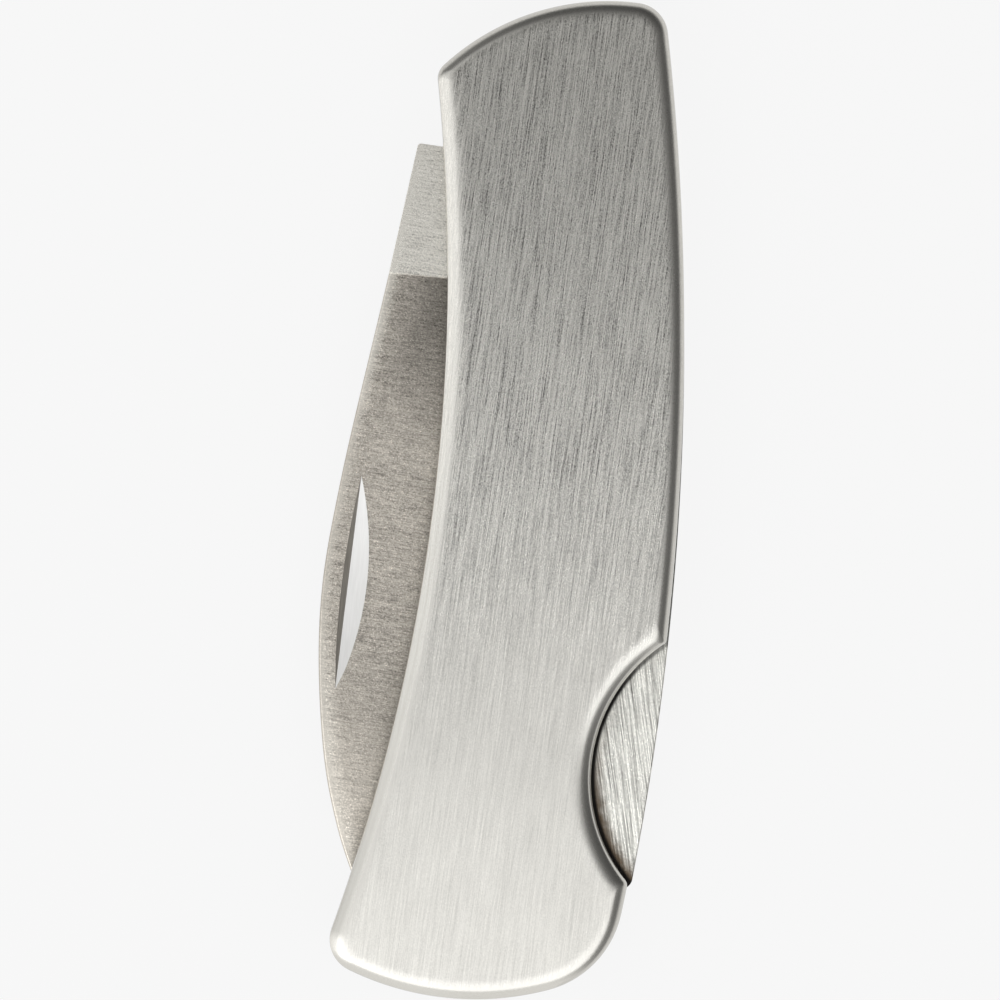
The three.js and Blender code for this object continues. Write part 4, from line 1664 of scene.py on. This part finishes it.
@dataclass
class Lock:
    """The lock bar on the spine and the leaf spring under its rear arm."""

    shape: HandleShape
    stack: Stack
    workshop: Workshop
    blade: Blade
    handle: Handle
    bar_side_gap: float = 0.1
    bar_rim: Rim = Rim(0.12, 0.1)
    proud_front: float = -0.05
    proud_middle: float = 0.1
    proud_rear: float = 0.32
    rear_corner: float = 1.0
    spring_side_gap: float = 0.1
    spring_contact: float = 15.5
    spring_rim: float = 0.08
    leaf_steps: int = 28

    def bar_points(self) -> list[Point]:
        """The outline of the lock bar."""
        rocker = self.handle.fasteners.rocker
        rear = self.shape.bar_rear(self.handle.bar_end_cover)
        spine = self.shape.spine
        front_top, front_low = self.blade.hook_front()
        hook_rear = front_low[0] + self.blade.hook_length
        underside = self.blade.bar_underside
        tip = Arc(0, 0, self.blade.tang_radius + self.blade.hook_gap)
        back = circle_through(
            (front_top[0], spine.height_at(front_top[0]) + self.proud_front),
            (rocker[0], spine.height_at(rocker[0]) + self.proud_middle),
            (rear - self.rear_corner, spine.height_at(rear - self.rear_corner) + self.proud_rear),
        )
        rear_top = (rear - self.rear_corner, back.height_at(rear - self.rear_corner))
        front = (front_top[0], back.height_at(front_top[0]))
        hook_back = (hook_rear, tip.height_at(hook_rear))
        corner = Arc(rear_top[0], rear_top[1] - self.rear_corner, self.rear_corner)
        rear_low = (rear, rear_top[1] - self.rear_corner)
        return [
            *tip.points(front_low, hook_back, 10, clockwise=True),
            hook_back,
            (hook_rear, underside),
            (rear, underside),
            *corner.points(rear_low, rear_top, 12, clockwise=False),
            *back.points(rear_top, front, 60, clockwise=False),
            front,
        ]

    def bar(self) -> Mesh:
        """The lock bar with its bore."""
        half = self.stack.gap_half - self.bar_side_gap
        pin = self.handle.fasteners
        bore = Bore(*pin.rocker, pin.rocker_radius + pin.fit_gap)
        rims = (self.bar_rim, self.bar_rim)
        return self.workshop.plate("lock_bar", drawn_in(self.bar_points()), (-half, half), rims, [bore])

    def leaf_line(self) -> list[Point]:
        """The middle line of the leaf spring, from its root to its contact with the bar."""
        handle = self.handle
        front = handle.spacer_front
        root = (front + handle.spring_seat - handle.fasteners.fit_gap, handle.spring_rise)
        contact = handle.fasteners.rocker[0] + self.spring_contact
        rise = self.blade.bar_underside - self.blade.hook_gap - handle.spring_thickness / 2
        bow_start = (front, handle.spring_rise)
        bow = bend(bow_start, ((front + contact) / 2, handle.spring_rise), (contact, rise), self.leaf_steps)
        return [root, *bow, (contact, rise)]

    def build_tree(self) -> Tree:
        """Geometry Nodes that draw a flat strip with rounded edges along a line."""
        inputs = {"Geometry": "Geometry", **floats("Width", "Thickness", "Rounding"), "Material": "Material"}
        bench = node_group("leaf strip", "Geometry", inputs, {"Geometry": "Geometry"})
        given = bench.given
        line = bench.add("GeometryNodeMeshToCurve", {"Mesh": given["Geometry"]}).outputs[0]
        level = bench.add("GeometryNodeSetCurveNormal", {"Curve": line}, mode="Z_UP").outputs[0]
        size = {"Width": given["Thickness"], "Height": given["Width"]}
        strip = bench.add("GeometryNodeCurvePrimitiveQuadrilateral", size).outputs[0]
        corners = {"Curve": strip, "Radius": given["Rounding"], "Count": 3}
        profile = bench.add("GeometryNodeFilletCurve", corners, mode="POLY").outputs[0]
        inputs = {"Curve": level, "Profile Curve": profile, "Fill Caps": True}
        return bench.give_solid(bench.add("GeometryNodeCurveToMesh", inputs).outputs[0])

    def spring(self, material: bpy.types.Material) -> Mesh:
        """The leaf spring."""
        values = {
            "Width": 2 * (self.stack.gap_half - self.spring_side_gap) * MM,
            "Thickness": self.handle.spring_thickness * MM,
            "Rounding": self.spring_rim * MM,
            "Material": material,
        }
        line = [(x * MM, y * MM, self.workshop.middle * MM) for x, y in self.leaf_line()]
        mesh = grown("lock_spring", line, self.build_tree(), values)
        bench = bmesh.new()
        bench.from_mesh(mesh)
        bmesh.ops.remove_doubles(bench, verts=bench.verts, dist=1e-7)
        bmesh.ops.recalc_face_normals(bench, faces=bench.faces)
        bench.to_mesh(mesh)
        bench.free()
        smooth(mesh, CREASE)
        return mesh

    def build(self, assembly: Assembly) -> None:
        """Makes the lock bar and its spring and mounts them."""
        assembly.mount(self.bar(), Slot.LOCK, Body.LOCK_BAR)
        spring = assembly.mount(self.spring(assembly.paint.material(Slot.SPRING)), Slot.SPRING, None)
        line = self.leaf_line()
        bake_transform(spring)


@dataclass(frozen=True)
class Softbox:
    """A soft lamp: where it stands and how bright its face is."""

    name: str
    place: Triple
    aim: Triple
    size: Point
    radiance: float
    colour: Triple = (0.972, 0.983, 1.0)

    def light(self) -> None:
        """Puts the lamp into the scene."""
        lamp = bpy.data.lights.new(self.name, "AREA")
        lamp.shape = "RECTANGLE"
        lamp.size, lamp.size_y = self.size
        lamp.color = self.colour
        lamp.energy = self.radiance * math.pi * self.size[0] * self.size[1]
        holder = bpy.data.objects.new(self.name, lamp)
        holder.location = self.place
        holder.rotation_mode = "QUATERNION"
        direction = Vector(self.aim) - Vector(self.place)
        holder.rotation_quaternion = direction.to_track_quat("-Z", "Y")
        bpy.context.scene.collection.objects.link(holder)


@dataclass
class Studio:
    """The pale floor, the soft lamps, the surroundings that the steel reflects, and the camera. In the
    surroundings a lean is a range of the cosine to a side, and a height one of the cosine to straight up."""

    pale: Triple = (0.93, 0.93, 0.93)
    floor_size: float = 4.0
    floor_gap: float = 0.00002
    floor_glow: float = 0.95
    lens_distance: float = 1.2
    picture_width: float = 0.08
    sensor: float = 36.0
    target: Triple = (0.0305, -0.001, 0.0088)
    turn: float = 95.0
    bright_side: Triple = (0.85, -0.52, 0.0)
    base_lean: Point = (-0.85, 0.12)
    base_light: Point = (0.09, 0.285)
    side_lean: Point = (0.05, 0.5)
    side_height: Point = (0.65, 0.92)
    side_light: float = 0.85
    belly_side: Triple = (0.0, -1.0, 0.0)
    fill_lean: Point = (0.08, 0.35)
    fill_height: Point = (0.7, 0.9)
    fill_light: float = 0.34
    horizon_height: Point = (0.02, 0.2)
    scattered: float = 0.62
    lamps: tuple[Softbox, ...] = (
        Softbox("butt softbox", (0.19, -0.02, 0.4), (-0.01, -0.02, 0.0), (0.6, 0.3), radiance=1.66),
        Softbox("belly softbox", (0.02, -0.34, 0.4), (0.03, 0.0, 0.0), (0.6, 0.36), radiance=0.45),
    )

    def floor(self) -> None:
        """The plain pale floor."""
        half = self.floor_size / 2
        mesh = bpy.data.meshes.new("floor")
        corners = [(-half, -half), (half, -half), (half, half), (-half, half)]
        mesh.from_pydata([(x, y, -self.floor_gap) for x, y in corners], [], [(0, 1, 2, 3)])
        floor = placed("floor", mesh)
        material = bpy.data.materials.new("pale floor")
        material.use_nodes = True
        bench = NodeBench(material.node_tree)
        shader = material.node_tree.nodes["Principled BSDF"]
        inputs = {"Base Color": (*self.pale, 1.0), "Roughness": 0.9, "Specular IOR Level": 0.0}
        bench.fill(shader, inputs)
        plain = bench.add("ShaderNodeEmission", {"Color": (*self.pale, 1.0), "Strength": 1.0})
        path = bench.add("ShaderNodeLightPath").outputs
        seen = bench.math("MAXIMUM", self.glossy(bench, path), path["Is Camera Ray"])
        share = bench.times(seen, self.floor_glow)
        both = bench.add("ShaderNodeMixShader", {0: share, 1: shader.outputs[0], 2: plain.outputs[0]})
        bench.fill(material.node_tree.nodes["Material Output"], {"Surface": both.outputs[0]})
        mesh.materials.append(material)

    @staticmethod
    def glossy(bench: NodeBench, path: bpy.types.NodeOutputs) -> Socket:
        """1 for a ray from a reflection or through glass."""
        return bench.math("MAXIMUM", path["Is Glossy Ray"], path["Is Transmission Ray"])

    def world(self) -> None:
        """The surroundings: pale for the camera, and for steel a studio that is brighter on one side."""
        world = bpy.data.worlds.new("studio")
        bpy.context.scene.world = world
        world.use_nodes = True
        bench = NodeBench(world.node_tree)
        direction = bench.add("ShaderNodeTexCoord").outputs["Generated"]
        height = bench.axis(direction, 2)
        lean = bench.vector("DOT_PRODUCT", direction, self.bright_side)
        belly = bench.vector("DOT_PRODUCT", direction, self.belly_side)
        base = bench.ramp(lean, self.base_lean, self.base_light)
        side = bench.ramp(lean, self.side_lean, (0.0, self.side_light))
        side = bench.times(side, bench.ramp(height, self.side_height, (1.0, 0.0)))
        fill = bench.ramp(belly, self.fill_lean, (0.0, self.fill_light))
        fill = bench.times(fill, bench.ramp(height, self.fill_height, (0.0, 1.0)))
        studio = bench.plus(base, bench.plus(side, fill))
        horizon = bench.ramp(height, self.horizon_height, (1.0, 0.0))
        mirrored = bench.between(horizon, studio, self.pale[0])
        path = bench.add("ShaderNodeLightPath").outputs
        shown = bench.between(self.glossy(bench, path), self.scattered, mirrored)
        shown = bench.between(path["Is Camera Ray"], shown, self.pale[0])
        inputs = {"Color": (1.0, 1.0, 1.0, 1.0), "Strength": shown}
        bench.fill(world.node_tree.nodes["Background"], inputs)

    def camera(self) -> None:
        """A camera straight above the knife, with a long lens."""
        data = bpy.data.cameras.new("camera")
        data.sensor_width = self.sensor
        data.lens = self.sensor * self.lens_distance / self.picture_width
        camera = bpy.data.objects.new("camera", data)
        camera.location = (self.target[0], self.target[1], self.target[2] + self.lens_distance)
        camera.rotation_euler = (0.0, 0.0, math.radians(self.turn))
        data.clip_start, data.clip_end = 0.01, 10.0
        bpy.context.scene.collection.objects.link(camera)
        bpy.context.scene.camera = camera

    def build(self) -> None:
        """Sets up the studio."""
        bpy.context.scene.view_settings.view_transform = "Standard"
        self.floor()
        self.world()
        for lamp in self.lamps:
            lamp.light()
        self.camera()


def main() -> None:
    """Builds the dressed knife round the frame, and the studio."""
    logging.basicConfig(level=logging.INFO, format="%(name)s %(message)s")
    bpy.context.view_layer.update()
    stack = Stack()
    shape = HandleShape()
    workshop = Workshop(stack)
    assembly = Assembly(Paintbox())
    fasteners = Fasteners(shape, stack)
    handle = Handle(shape, stack, workshop, fasteners)
    blade = Blade(stack, workshop)
    lock = Lock(shape, stack, workshop, blade, handle)
    for part in (handle, fasteners, blade, lock):
        part.build(assembly)
    Studio().build()


if __name__ == "__main__":
    main()
